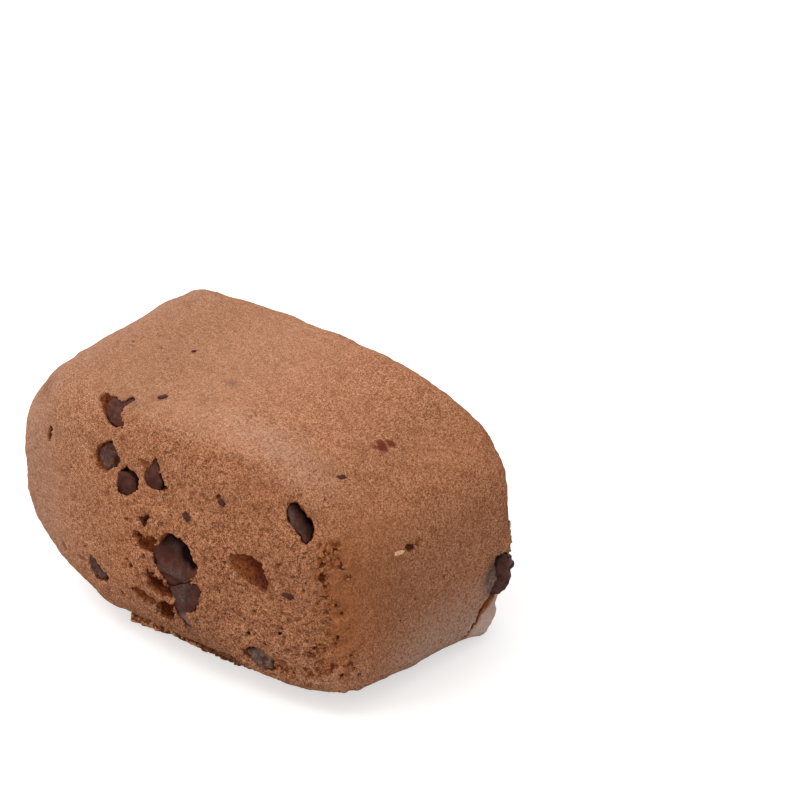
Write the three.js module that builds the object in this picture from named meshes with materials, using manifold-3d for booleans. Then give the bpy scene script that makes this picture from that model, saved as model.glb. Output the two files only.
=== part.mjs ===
// A short bar of chocolate-chip brownie, standing on its baked underside.
// Millimetres, +Z up. +X runs along the bar, -Y is the porous face that shows
// most chips, and the origin is at the middle of the bar's box, on the surface
// it stands on.
//
// The bar is a rounded outline in the XZ plane (four elliptical corners, all
// different) carried along Y and closed by two slightly domed, porous faces.
// Each chocolate chip is a piece of its own that sits in its own pocket.

import * as THREE from 'three';
import { mergeVertices } from 'three/addons/utils/BufferGeometryUtils.js';
import Module from 'manifold-3d';

const wasm = await Module();
wasm.setup();

// ---------------------------------------------------------------- driving sizes
const LENGTH = 54.8;            // across the outline's flat sides, before they bulge
const DEPTH = 32.5;             // between the two porous faces at their edges
const HEIGHT = 32.5;            // underside to top at the edges of the top
const CORNER = {                // elliptical corners: [along X, along Z]
  topLeft: [9.1, 16.1],
  topRight: [23.2, 11.9],
  bottomLeft: [20.4, 15.1],
  bottomRight: [10.9, 3.8],
};
const FRONT_EDGE = 5.0;         // rounding between the front face and the skin
const UNDERCUT = { extra: 3.4, from: -17, to: 9, fade: 7, height: 13 };  // rounder along the lower front edge
const BACK_EDGE = 3.8;
const FRONT_DOME = 2.45;        // how far the faces dome outwards
const BACK_DOME = 1.65;
const SIDE_BULGE = 1.07;        // how far the two ends bulge at mid height
const CROWN = 1.07;             // how far the top rises at its middle
const TURN_BACK = { frontLeft: 1.4, frontRight: 3.2, backLeft: 0.2, backRight: 0.55 };
const TURN_REACH = 29.2;        // length over which the faces turn back at the ends
const SHEAR = 0.094;            // the outline slides along +X from front to back
const LEAN = -0.0140;           // and leans with height
const TOP_SLOPE = -0.045;       // the top falls towards +X
const WIDER_BACK = 0.078;       // the outline grows towards the back
const HIGHER_BACK = 0.035;
const CORNER_CHANGE = { bottomRight: -0.592, topLeft: -0.354 };  // front to back, natural log
const CORNER_POWER = 2.15;      // squareness of the corners

const ORIGIN = [1.0, -0.27];   // middle of the box in the outline's own axes
const GAP = 0.3;                // left between a chip and its pocket

const DOUGH = { color: 0x9a6444, roughness: 0.86, metalness: 0 };
const CHOCOLATE = { color: 0x3b231d, roughness: 0.5, metalness: 0 };

// Chips. at: middle of the chip on the surface; out: which way it faces;
// along: its long direction; size: [long, wide]; rise and sink: how far it
// stands out of and goes into that surface; taper narrows it along its length.
const CHIPS = [
  { name: 'chip_ridge', at: [-7.9, -14.4, 32.1], out: [-0.01, -0.49, 0.87], along: [-0.68, 0.64, 0.36], size: [4.5, 4.0], rise: 0.1, sink: 2.4, taper: 0.1 },
  { name: 'chip_domed', at: [-7.7, -17.7, 27.2], out: [-0.05, -0.99, 0.16], along: [-0.35, 0.15, 0.93], size: [3.9, 3.2], rise: 0.35, sink: 2.2, taper: 0.1 },
  { name: 'chip_round', at: [-4.1, -18.1, 24.7], out: [-0.02, -0.99, 0.12], along: [0.45, 0.07, 0.89], size: [4.3, 3.4], rise: 0.1, sink: 2.1, taper: 0.0 },
  { name: 'chip_wedge', at: [0.4, -17.7, 27.5], out: [0.04, -0.98, 0.17], along: [-0.35, 0.15, 0.93], size: [4.3, 3.0], rise: 0.1, sink: 2.0, taper: 0.55 },
  { name: 'chunk_upper', at: [3.4, -18.4, 16.5], out: [0.09, -0.99, 0.01], along: [-0.55, 0.0, 0.83], size: [6.9, 5.8], rise: -0.25, sink: 3.4, taper: 0.1 },
  { name: 'chunk_lower', at: [4.6, -18.1, 10.6], out: [0.10, -0.99, -0.06], along: [0.28, -0.02, 0.96], size: [6.6, 4.0], rise: 0.15, sink: 2.4, taper: -0.45 },
  { name: 'chip_corner', at: [19.7, -13.5, 26.6], out: [0.50, -0.68, 0.54], along: [-0.63, 0.15, 0.76], size: [5.1, 2.6], rise: 0.0, sink: 2.2, taper: 0.25 },
  { name: 'chip_low_left', at: [-11.2, -17.9, 9.4], out: [-0.09, -0.99, -0.09], along: [-0.59, -0.02, 0.80], size: [4.0, 2.2], rise: 0.1, sink: 1.9, taper: 0.5 },
  { name: 'chip_base', at: [14.9, -16.2, 6.3], out: [0.20, -0.98, -0.09], along: [-0.91, -0.22, 0.34], size: [4.5, 2.6], rise: 0.2, sink: 2.0, taper: 0.0 },
  { name: 'chip_side', at: [30.1, 13.3, 9.9], out: [0.98, 0.20, -0.05], along: [0.04, 0.02, 1.0], size: [5.8, 4.2], rise: 0.5, sink: 2.6, taper: -0.1 },
  // the back face is finished like the front
  { name: 'chip_back_1', at: [9.5, 17.9, 21.5], out: [0.03, 0.99, 0.10], along: [0.6, 0.0, 0.8], size: [4.6, 3.4], rise: 0.2, sink: 2.2, taper: 0.2 },
  { name: 'chip_back_2', at: [-7.5, 17.6, 24.5], out: [-0.03, 0.99, 0.15], along: [0.9, 0.0, -0.43], size: [4.2, 3.0], rise: 0.1, sink: 2.0, taper: 0.4 },
  { name: 'chip_back_3', at: [-14.0, 17.4, 12.0], out: [-0.08, 0.99, -0.05], along: [0.2, 0.0, 0.98], size: [4.4, 3.3], rise: 0.25, sink: 2.1, taper: 0.1 },
  { name: 'chip_back_4', at: [18.5, 17.5, 9.0], out: [0.06, 0.99, -0.06], along: [0.8, 0.0, 0.6], size: [5.4, 3.9], rise: 0.1, sink: 2.5, taper: 0.2 },
];

// Hollows in the dough that hold no chip, given like the chips.
const HOLLOWS = [
  // print of a chip that fell out, deep at its right-hand side
  { at: [14.9, -17.0, 19.6], out: [0.42, -0.90, 0.15], along: [-0.75, -0.15, 0.65], size: [5.6, 3.9], rise: 0.9, sink: 1.2, taper: 0.2 },
  // torn dough beside the chunk
  { at: [-1.2, -18.7, 18.2], out: [0.01, -1, 0.02], along: [0.98, 0.02, -0.2], size: [4.6, 2.4], rise: 0.6, sink: 1.0, taper: 0.1 },
  { at: [0.3, -18.5, 12.2], out: [0.04, -1, -0.05], along: [0.80, 0.05, -0.60], size: [4.8, 1.5], rise: 0.6, sink: 1.5, taper: 0.1 },
  { at: [-2.2, -18.4, 9.4], out: [-0.01, -1, -0.10], along: [0.86, -0.01, -0.5], size: [4.4, 1.3], rise: 0.5, sink: 0.8, taper: 0.0 },
  { at: [1.6, -18.2, 8.4], out: [0.05, -1, -0.11], along: [0.5, -0.09, -0.8], size: [3.4, 2.0], rise: 0.6, sink: 1.4, taper: 0.0 },
  // pit in the skin of the right-hand end
  { at: [27.7, -2.7, 20.9], out: [0.97, -0.16, 0.19], along: [-0.24, -0.90, 0.3], size: [2.2, 1.2], rise: 0.5, sink: 0.9, taper: 0.2 },
  // torn corner at the back of the right-hand end, set back below the tear
  { at: [29.9, 14.6, 2.4], out: [0.96, 0.12, -0.28], along: [0.0, 0.80, 0.60], size: [16.0, 7.0], rise: 1.6, sink: 1.4, taper: -0.25 },
];

// A foot of dough pressed out along the lower front edge, and the tear above
// the set-back corner. Routes are [x, y, z, radius].
const FOOT = [[-9.7, -13.9, 0.3, 1.6], [-5.8, -13.2, 0.2, 1.75], [-1.5, -12.4, 0.2, 1.75], [3.5, -11.8, 0.15, 1.7], [8.3, -11.5, 0.0, 1.3]];
const TEAR = [[28.6, 6.2, 1.6, 0.3], [29.2, 8.0, 4.2, 0.5], [29.6, 9.9, 6.2, 0.6], [29.6, 12.6, 7.6, 0.7], [29.0, 15.8, 8.8, 0.7]];

// ---------------------------------------------------------------- base outline
const clamp = (v, lo, hi) => Math.min(Math.max(v, lo), hi);

function cornerDistance(qx, qz, rx, rz) {
  const ux = Math.max(qx, 0) / rx, uz = Math.max(qz, 0) / rz;
  const k = Math.pow(Math.pow(ux, CORNER_POWER) + Math.pow(uz, CORNER_POWER), 1 / CORNER_POWER);
  if (k < 1e-6) return -Math.min(rx, rz);
  const slope = Math.hypot(Math.max(qx, 0) / rx ** 2, Math.max(qz, 0) / rz ** 2);
  return (k - 1) * Math.max(Math.hypot(ux, uz), 1e-6) / Math.max(slope, 1e-6);
}

function outlineDistance(x, z, t, halfLength, height) {
  const up = z - height / 2;
  const right = x > 0, top = up > 0;
  let [rx, rz] = right ? (top ? CORNER.topRight : CORNER.bottomRight) : (top ? CORNER.topLeft : CORNER.bottomLeft);
  const change = Math.exp((right && !top ? CORNER_CHANGE.bottomRight : !right && top ? CORNER_CHANGE.topLeft : 0) * t);
  rx *= change; rz *= change;
  const qx = Math.abs(x) - halfLength + rx, qz = Math.abs(up) - height / 2 + rz;
  if (qx > 0 && qz > 0) return cornerDistance(qx, qz, rx, rz);
  return Math.max(qx - rx, qz - rz);
}

// larger of two distances, with a rounding of radius r between them
function roundedMax(a, b, r) {
  const u = Math.max(a + r, 0), v = Math.max(b + r, 0);
  return Math.min(Math.max(a, b), -r) + Math.sqrt(u * u + v * v);
}

function bodyDistance(x0, y, z) {
  const t = y / DEPTH;
  const x = x0 - SHEAR * y - LEAN * (z - HEIGHT / 2);
  const height = HEIGHT * (1 + TOP_SLOPE * x / LENGTH + HIGHER_BACK * t);
  const belly = clamp(1 - (2 * z / height - 1) ** 2, 0, 1);
  const halfLength = LENGTH / 2 * (1 + WIDER_BACK * t) + SIDE_BULGE * belly;
  const middle = clamp(1 - (2 * x / LENGTH) ** 2, 0, 1);
  const crown = CROWN * middle * clamp(z / height * 2 - 1, 0, 1);
  const skin = outlineDistance(x, z - crown, t, halfLength, height);
  const dome = middle * Math.pow(clamp(1 - (2 * z / HEIGHT - 1) ** 2, 0, 1), 0.7);
  const left = clamp((-LENGTH / 2 + TURN_REACH - x) / TURN_REACH, 0, 1.3) ** 2;
  const right = clamp((x - LENGTH / 2 + TURN_REACH) / TURN_REACH, 0, 1.3) ** 2;
  const front = -DEPTH / 2 - FRONT_DOME * dome + TURN_BACK.frontLeft * left + TURN_BACK.frontRight * right;
  const back = DEPTH / 2 + BACK_DOME * dome - TURN_BACK.backLeft * left - TURN_BACK.backRight * right;
  const beside = Math.max(UNDERCUT.from - x, x - UNDERCUT.to, 0) / UNDERCUT.fade;
  const low = clamp(1 - z / UNDERCUT.height, 0, 1);
  const edge = FRONT_EDGE + UNDERCUT.extra * Math.exp(-beside * beside) * low;
  return roundedMax(roundedMax(skin, front - y, edge), y - back, BACK_EDGE);
}

// ---------------------------------------------------------------- making solids
function toSolid(geometry) {
  const bare = geometry.clone();
  for (const name of Object.keys(bare.attributes)) if (name !== 'position') bare.deleteAttribute(name);
  const merged = mergeVertices(bare, 1e-4);
  return new wasm.Manifold(new wasm.Mesh({
    numProp: 3,
    vertProperties: new Float32Array(merged.attributes.position.array),
    triVerts: new Uint32Array(merged.index.array),
  }));
}

function toMesh(solid, name, look) {
  const m = solid.getMesh();
  const geometry = new THREE.BufferGeometry();
  geometry.setAttribute('position', new THREE.BufferAttribute(new Float32Array(m.vertProperties), 3));
  geometry.setIndex(new THREE.BufferAttribute(new Uint32Array(m.triVerts), 1));
  geometry.computeVertexNormals();
  const mesh = new THREE.Mesh(geometry, new THREE.MeshStandardMaterial(look));
  mesh.name = name;
  mesh.position.set(-ORIGIN[0], -ORIGIN[1], 0);
  return mesh;
}

// A closed surface round `middle`: a box-shaped grid of rays, each run out to
// where `distance` turns positive. Points on the underside are set on z = 0.
function grownShell(steps, half, middle, distance) {
  const positions = [];
  const point = (d) => {
    const length = Math.hypot(...d), u = d.map((v) => v / length);
    let lo = 0, hi = 60;
    for (let i = 0; i < 44; i++) {
      const s = (lo + hi) / 2;
      if (distance(middle[0] + u[0] * s, middle[1] + u[1] * s, middle[2] + u[2] * s) < 0) lo = s; else hi = s;
    }
    const p = [0, 1, 2].map((k) => middle[k] + u[k] * lo);
    return Math.abs(p[2]) < 2e-4 ? [p[0], p[1], 0] : p;
  };
  for (let axis = 0; axis < 3; axis++) {
    const a = (axis + 1) % 3, b = (axis + 2) % 3;
    for (const side of [-1, 1]) {
      const at = (i, j) => {
        const d = [0, 0, 0];
        d[axis] = side * half[axis];
        d[a] = half[a] * (2 * i / steps[a] - 1);
        d[b] = half[b] * (2 * j / steps[b] - 1);
        return point(d);
      };
      for (let i = 0; i < steps[a]; i++) for (let j = 0; j < steps[b]; j++) {
        const q = [at(i, j), at(i + 1, j), at(i + 1, j + 1), at(i, j + 1)];
        if (side < 0) q.reverse();
        for (const k of [0, 1, 2, 0, 2, 3]) positions.push(...q[k]);
      }
    }
  }
  const geometry = new THREE.BufferGeometry();
  geometry.setAttribute('position', new THREE.Float32BufferAttribute(positions, 3));
  return toSolid(geometry);
}

// A lump: a squarish ball, narrowed along its length, `rise` high and `sink`
// deep about its middle, with `grow` added all round.
function lump({ at, out, along, size, rise, sink, taper }, grow = 0, squareness = 2.5, columns = 12, rows = 7, lift = 0) {
  const normal = new THREE.Vector3(...out).normalize();
  const u = new THREE.Vector3(...along);
  u.addScaledVector(normal, -u.dot(normal)).normalize();
  const w = new THREE.Vector3().crossVectors(u, normal);
  const place = new THREE.Matrix4().makeBasis(u, normal, w).setPosition(...at);
  const middle = (rise - sink) / 2, half = (rise + sink) / 2 + grow;
  const geometry = new THREE.SphereGeometry(1, columns, rows);
  const p = geometry.attributes.position;
  for (let i = 0; i < p.count; i++) {
    const v = [p.getX(i), p.getY(i), p.getZ(i)];
    const k = Math.pow(v.reduce((s, c) => s + Math.pow(Math.abs(c), squareness), 0), -1 / squareness);
    const [a, b, c] = v.map((q) => q * k);
    p.setXYZ(i, a * (size[0] / 2 + grow), middle + b * half + (b > 0 ? b * lift : 0), c * (size[1] / 2 * (1 - taper * a) + grow));
  }
  geometry.applyMatrix4(place);
  return toSolid(geometry);
}

// A round-ended rope through [x, y, z, radius] points, its lower side held at
// `floor` where one is given.
function rope(route, sides = 8, steps = 12, floor = null) {
  const curve = new THREE.CatmullRomCurve3(route.map(([x, y, z]) => new THREE.Vector3(x, y, z)));
  const radius = (s) => {
    const f = s * (route.length - 1), i = Math.min(Math.floor(f), route.length - 2);
    return THREE.MathUtils.lerp(route[i][3], route[i + 1][3], f - i);
  };
  const rings = [];
  const up = new THREE.Vector3(0, 0, 1);
  for (let i = 0; i <= steps; i++) {
    const s = i / steps, c = curve.getPoint(s), t = curve.getTangent(s).normalize();
    const side = new THREE.Vector3().crossVectors(t, up).normalize(), top = new THREE.Vector3().crossVectors(side, t);
    rings.push(Array.from({ length: sides }, (_, k) => {
      const a = 2 * Math.PI * k / sides;
      return c.clone().addScaledVector(side, radius(s) * Math.cos(a)).addScaledVector(top, radius(s) * Math.sin(a));
    }));
  }
  const ends = [0, 1].map((s) => curve.getPoint(s).addScaledVector(curve.getTangent(s).normalize(), (s ? 0.7 : -0.7) * radius(s)));
  const out = [];
  const tri = (...p) => p.forEach((v) => out.push(v.x, v.y, floor === null ? v.z : Math.max(v.z, floor)));
  for (let k = 0; k < sides; k++) {
    const n = (k + 1) % sides;
    for (let i = 0; i < steps; i++) {
      tri(rings[i][k], rings[i + 1][k], rings[i + 1][n]);
      tri(rings[i][k], rings[i + 1][n], rings[i][n]);
    }
    tri(ends[0], rings[0][k], rings[0][n]);
    tri(ends[1], rings[steps][n], rings[steps][k]);
  }
  const geometry = new THREE.BufferGeometry();
  geometry.setAttribute('position', new THREE.Float32BufferAttribute(out, 3));
  return toSolid(geometry);
}

// ---------------------------------------------------------------- the brownie
let dough = grownShell([22, 14, 13], [30, 18, 17], [0, 0, 15.5], bodyDistance);
dough = dough.add(rope(FOOT, 10, 10, 0));
dough = dough.subtract(rope(TEAR, 6, 8));
for (const hollow of HOLLOWS) dough = dough.subtract(lump(hollow, 0, 2.2, 10, 6));

const chips = [];
for (const chip of CHIPS) {
  let solid = lump(chip);
  for (const other of chips) {
    if (chip.name === 'chunk_lower' && other.name === 'chunk_upper') solid = solid.subtract(lump(other.chip, GAP));
  }
  chips.push({ name: chip.name, chip, solid });
  dough = dough.subtract(lump(chip, GAP, 2.5, 12, 7, 0.8));
}

const brownie = new THREE.Group();
brownie.name = 'brownie';
brownie.add(toMesh(dough, 'brownie_dough', DOUGH));
for (const { name, solid } of chips) brownie.add(toMesh(solid, name, CHOCOLATE));

export default brownie;
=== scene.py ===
"""A short bar of chocolate-chip brownie: baked dough with porous front and back
faces, dark chocolate chips in their pockets, torn hollows and loose crumbs.

The dough is one closed surface. Its smooth outline is the same function that
shapes the CAD solid; pockets, prints, tears, pores and crumbs are cut into it on
a fine grid, and the surface is drawn round the result. Each chip is drawn the
same way on a finer grid of its own.

Lengths are millimetres in the outline's own axes until the meshes are made.
"""

import math

import bpy
import numpy as np
from mathutils import Matrix, Vector


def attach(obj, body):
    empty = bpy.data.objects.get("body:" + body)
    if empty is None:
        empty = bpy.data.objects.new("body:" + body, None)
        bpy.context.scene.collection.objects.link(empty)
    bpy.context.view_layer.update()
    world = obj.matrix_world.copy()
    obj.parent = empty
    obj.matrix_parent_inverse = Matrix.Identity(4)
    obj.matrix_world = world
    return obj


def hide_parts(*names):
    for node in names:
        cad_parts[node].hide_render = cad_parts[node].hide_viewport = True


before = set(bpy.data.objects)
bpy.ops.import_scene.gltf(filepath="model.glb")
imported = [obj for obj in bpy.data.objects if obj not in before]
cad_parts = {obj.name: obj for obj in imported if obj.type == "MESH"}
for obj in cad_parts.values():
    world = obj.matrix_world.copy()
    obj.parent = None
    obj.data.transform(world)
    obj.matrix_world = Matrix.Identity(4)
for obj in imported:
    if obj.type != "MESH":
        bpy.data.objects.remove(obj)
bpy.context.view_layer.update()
scene = bpy.context.scene

# ------------------------------------------------------------------ sizes
LENGTH, DEPTH, HEIGHT = 54.8, 32.5, 32.5
TOP_LEFT, TOP_RIGHT = (9.1, 16.1), (23.2, 11.9)
BOTTOM_LEFT, BOTTOM_RIGHT = (20.4, 15.1), (10.9, 3.8)
FRONT_EDGE, BACK_EDGE = 5.0, 3.8
FRONT_DOME, BACK_DOME = 2.45, 1.65
SIDE_BULGE, CROWN = 1.07, 1.07
SHEAR, LEAN, TOP_SLOPE, WIDER_BACK, HIGHER_BACK = 0.094, -0.0140, -0.045, 0.078, 0.035
TURN_REACH, CORNER_POWER = 29.2, 2.15
ORIGIN = np.array([1.0, -0.27, 0.0])      # middle of the box in the outline's axes
STEP = 0.18                               # grid the dough is drawn on
CHIP_STEP = 0.1                           # grid the chips are drawn on
MOST_FACES = 192000                       # triangles in the dough
SIDE = np.array([0.7886, 0.6150, 0.0])    # outlines below are measured along this

# the camera, in the outline's axes
CAM_RIGHT = np.array([0.78855, 0.61498, 0.0])
CAM_BACK = np.array([0.53351, -0.68409, 0.49739])
CAM_AT = np.array([139.948, -149.221, 146.513])
LENS = 85.0
SKY = 0.91                                # brightness of the soft light all round


def clamp(v, lo=0.0, hi=1.0):
    return np.clip(v, lo, hi)


def ramp(v, lo, hi):
    t = np.clip((v - lo) / (hi - lo), 0.0, 1.0)
    return t * t * (3 - 2 * t)


def rounded_max(a, b, r):
    u, v = np.maximum(a + r, 0), np.maximum(b + r, 0)
    return np.minimum(np.maximum(a, b), -r) + np.sqrt(u * u + v * v)


def soft_min(a, b, r):
    h = np.clip(0.5 + 0.5 * (b - a) / r, 0, 1)
    return b + (a - b) * h - r * h * (1 - h)


# ------------------------------------------------------------------ base outline
def outline(x, z, t, half, height):
    up = z - height / 2
    right, top = x > 0, up > 0
    low_right, high_left = np.exp(-0.592 * t), np.exp(-0.354 * t)
    rx = np.where(right, np.where(top, TOP_RIGHT[0], BOTTOM_RIGHT[0] * low_right),
                  np.where(top, TOP_LEFT[0] * high_left, BOTTOM_LEFT[0]))
    rz = np.where(right, np.where(top, TOP_RIGHT[1], BOTTOM_RIGHT[1] * low_right),
                  np.where(top, TOP_LEFT[1] * high_left, BOTTOM_LEFT[1]))
    qx, qz = np.abs(x) - half + rx, np.abs(up) - height / 2 + rz
    px, pz = np.maximum(qx, 0), np.maximum(qz, 0)
    ux, uz = px / rx, pz / rz
    k = (ux ** CORNER_POWER + uz ** CORNER_POWER) ** (1 / CORNER_POWER)
    slope = np.hypot(px / rx ** 2, pz / rz ** 2)
    corner = (k - 1) * np.maximum(np.hypot(ux, uz), 1e-6) / np.maximum(slope, 1e-6)
    return np.where((qx > 0) & (qz > 0), corner, np.maximum(qx - rx, qz - rz))


def base(x0, y, z, parts=False):
    """Distance to the smooth bar, below zero inside it."""
    t = y / DEPTH
    x = x0 - SHEAR * y - LEAN * (z - HEIGHT / 2)
    height = HEIGHT * (1 + TOP_SLOPE * x / LENGTH + HIGHER_BACK * t)
    level = 2 * z / height - 1
    half = LENGTH / 2 * (1 + WIDER_BACK * t) + SIDE_BULGE * clamp(1 - level ** 2)
    middle = clamp(1 - (2 * x / LENGTH) ** 2)
    skin = outline(x, z - CROWN * middle * clamp(level), t, half, height)
    dome = middle * clamp(1 - (2 * z / HEIGHT - 1) ** 2) ** 0.7
    left = np.clip((-LENGTH / 2 + TURN_REACH - x) / TURN_REACH, 0, 1.3) ** 2
    right = np.clip((x - LENGTH / 2 + TURN_REACH) / TURN_REACH, 0, 1.3) ** 2
    front = -DEPTH / 2 - FRONT_DOME * dome + 1.4 * left + 3.2 * right
    back = DEPTH / 2 + BACK_DOME * dome - 0.2 * left - 0.55 * right
    beside = np.maximum(np.maximum(-17 - x, x - 9), 0) / 7
    edge = FRONT_EDGE + 3.4 * np.exp(-beside * beside) * clamp(1 - z / 13)
    d = rounded_max(rounded_max(skin, front - y, edge), y - back, BACK_EDGE)
    return (d, skin) if parts else d


def base_at(P):
    return base(P[:, 0], P[:, 1], P[:, 2])


def slope_at(P, h=0.25):
    """Outward direction of the smooth bar at each point."""
    g = np.stack([base_at(P + np.eye(3)[k] * h) - base_at(P - np.eye(3)[k] * h) for k in range(3)], 1)
    return g / np.maximum(np.linalg.norm(g, axis=1, keepdims=True), 1e-9)


def axes(out):
    """Unit normal and the two directions that outlines are measured along."""
    n = np.array(out, float)
    n /= np.linalg.norm(n)
    a = SIDE - n * (SIDE @ n)
    a /= np.linalg.norm(a)
    return n, a, np.cross(n, a)


# ------------------------------------------------------------------ noise
TILE, CELLS = 96, 8.0


def make_tile(seed, width):
    r = np.random.default_rng(seed).standard_normal((TILE,) * 3).astype(np.float32)
    f = np.fft.rfftn(r)
    k, kz = np.fft.fftfreq(TILE) * CELLS, np.fft.rfftfreq(TILE) * CELLS
    m = np.sqrt(k[:, None, None] ** 2 + k[None, :, None] ** 2 + kz[None, None, :] ** 2)
    g = np.fft.irfftn(f * np.exp(-((m - 1) / width) ** 2 / 2), s=(TILE,) * 3)
    return (g / g.std()).astype(np.float32).ravel()


TILES = [make_tile(11, 0.30), make_tile(12, 0.30), make_tile(13, 0.45)]
_turn = np.random.default_rng(5)
TURNS = [np.linalg.qr(_turn.standard_normal((3, 3)))[0].astype(np.float32) for _ in range(40)]
SHIFTS = _turn.uniform(0, TILE, (40, 3)).astype(np.float32)


def noise(P, wavelength, seed, stretch=None):
    """Smooth noise of one size of bump at points P, mean 0 and deviation 1."""
    P = np.asarray(P, np.float32)
    if stretch is not None:
        P = P / np.array(stretch, np.float32)
    tile = TILES[seed % len(TILES)]
    q = (P @ TURNS[seed % 40]) * np.float32(CELLS / wavelength) + SHIFTS[seed % 40]
    i = np.floor(q)
    f = q - i
    i = i.astype(np.int32) % TILE
    j = (i + 1) % TILE
    x0, x1 = i[:, 0] * (TILE * TILE), j[:, 0] * (TILE * TILE)
    y0, y1 = i[:, 1] * TILE, j[:, 1] * TILE
    z0, z1 = i[:, 2], j[:, 2]
    fx, fy, fz = f[:, 0], f[:, 1], f[:, 2]
    a = tile[x0 + y0 + z0] * (1 - fz) + tile[x0 + y0 + z1] * fz
    b = tile[x0 + y1 + z0] * (1 - fz) + tile[x0 + y1 + z1] * fz
    c = tile[x1 + y0 + z0] * (1 - fz) + tile[x1 + y0 + z1] * fz
    d = tile[x1 + y1 + z0] * (1 - fz) + tile[x1 + y1 + z1] * fz
    a += (b - a) * fy
    c += (d - c) * fy
    return a + (c - a) * fx


# ------------------------------------------------------------------ outlines
def soften(points, times=1):
    p = np.array(points, float)
    for _ in range(times):
        q = np.roll(p, -1, 0)
        p = np.stack([0.75 * p + 0.25 * q, 0.25 * p + 0.75 * q], 1).reshape(-1, 2)
    return p


def edge_distance(a, b, points):
    """Distance from (a, b) to a closed outline, below zero inside it."""
    best, inside = None, np.zeros(np.shape(a), bool)
    for (x0, y0), (x1, y1) in zip(points, np.roll(points, -1, 0)):
        ex, ey = x1 - x0, y1 - y0
        wx, wy = a - x0, b - y0
        t = np.clip((wx * ex + wy * ey) / (ex * ex + ey * ey), 0, 1)
        q = (wx - t * ex) ** 2 + (wy - t * ey) ** 2
        best = q if best is None else np.minimum(best, q)
        crosses = (y0 <= b) != (y1 <= b)
        inside ^= crosses & ((ex * wy - ey * wx > 0) == (y1 > y0))
    return np.where(inside, -1, 1) * np.sqrt(best)


def blob(seed, long, wide, angle, count=12, rough=0.12, taper=0.2):
    """An uneven rounded outline."""
    r = np.random.default_rng(seed)
    t = np.arange(count) * 2 * math.pi / count
    k = 1 + rough * r.standard_normal(count)
    x, y = np.cos(t) * long / 2 * k, np.sin(t) * wide / 2 * k * (1 - taper * np.cos(t))
    c, s = math.cos(angle), math.sin(angle)
    return np.stack([x * c - y * s, x * s + y * c], 1)


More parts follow.
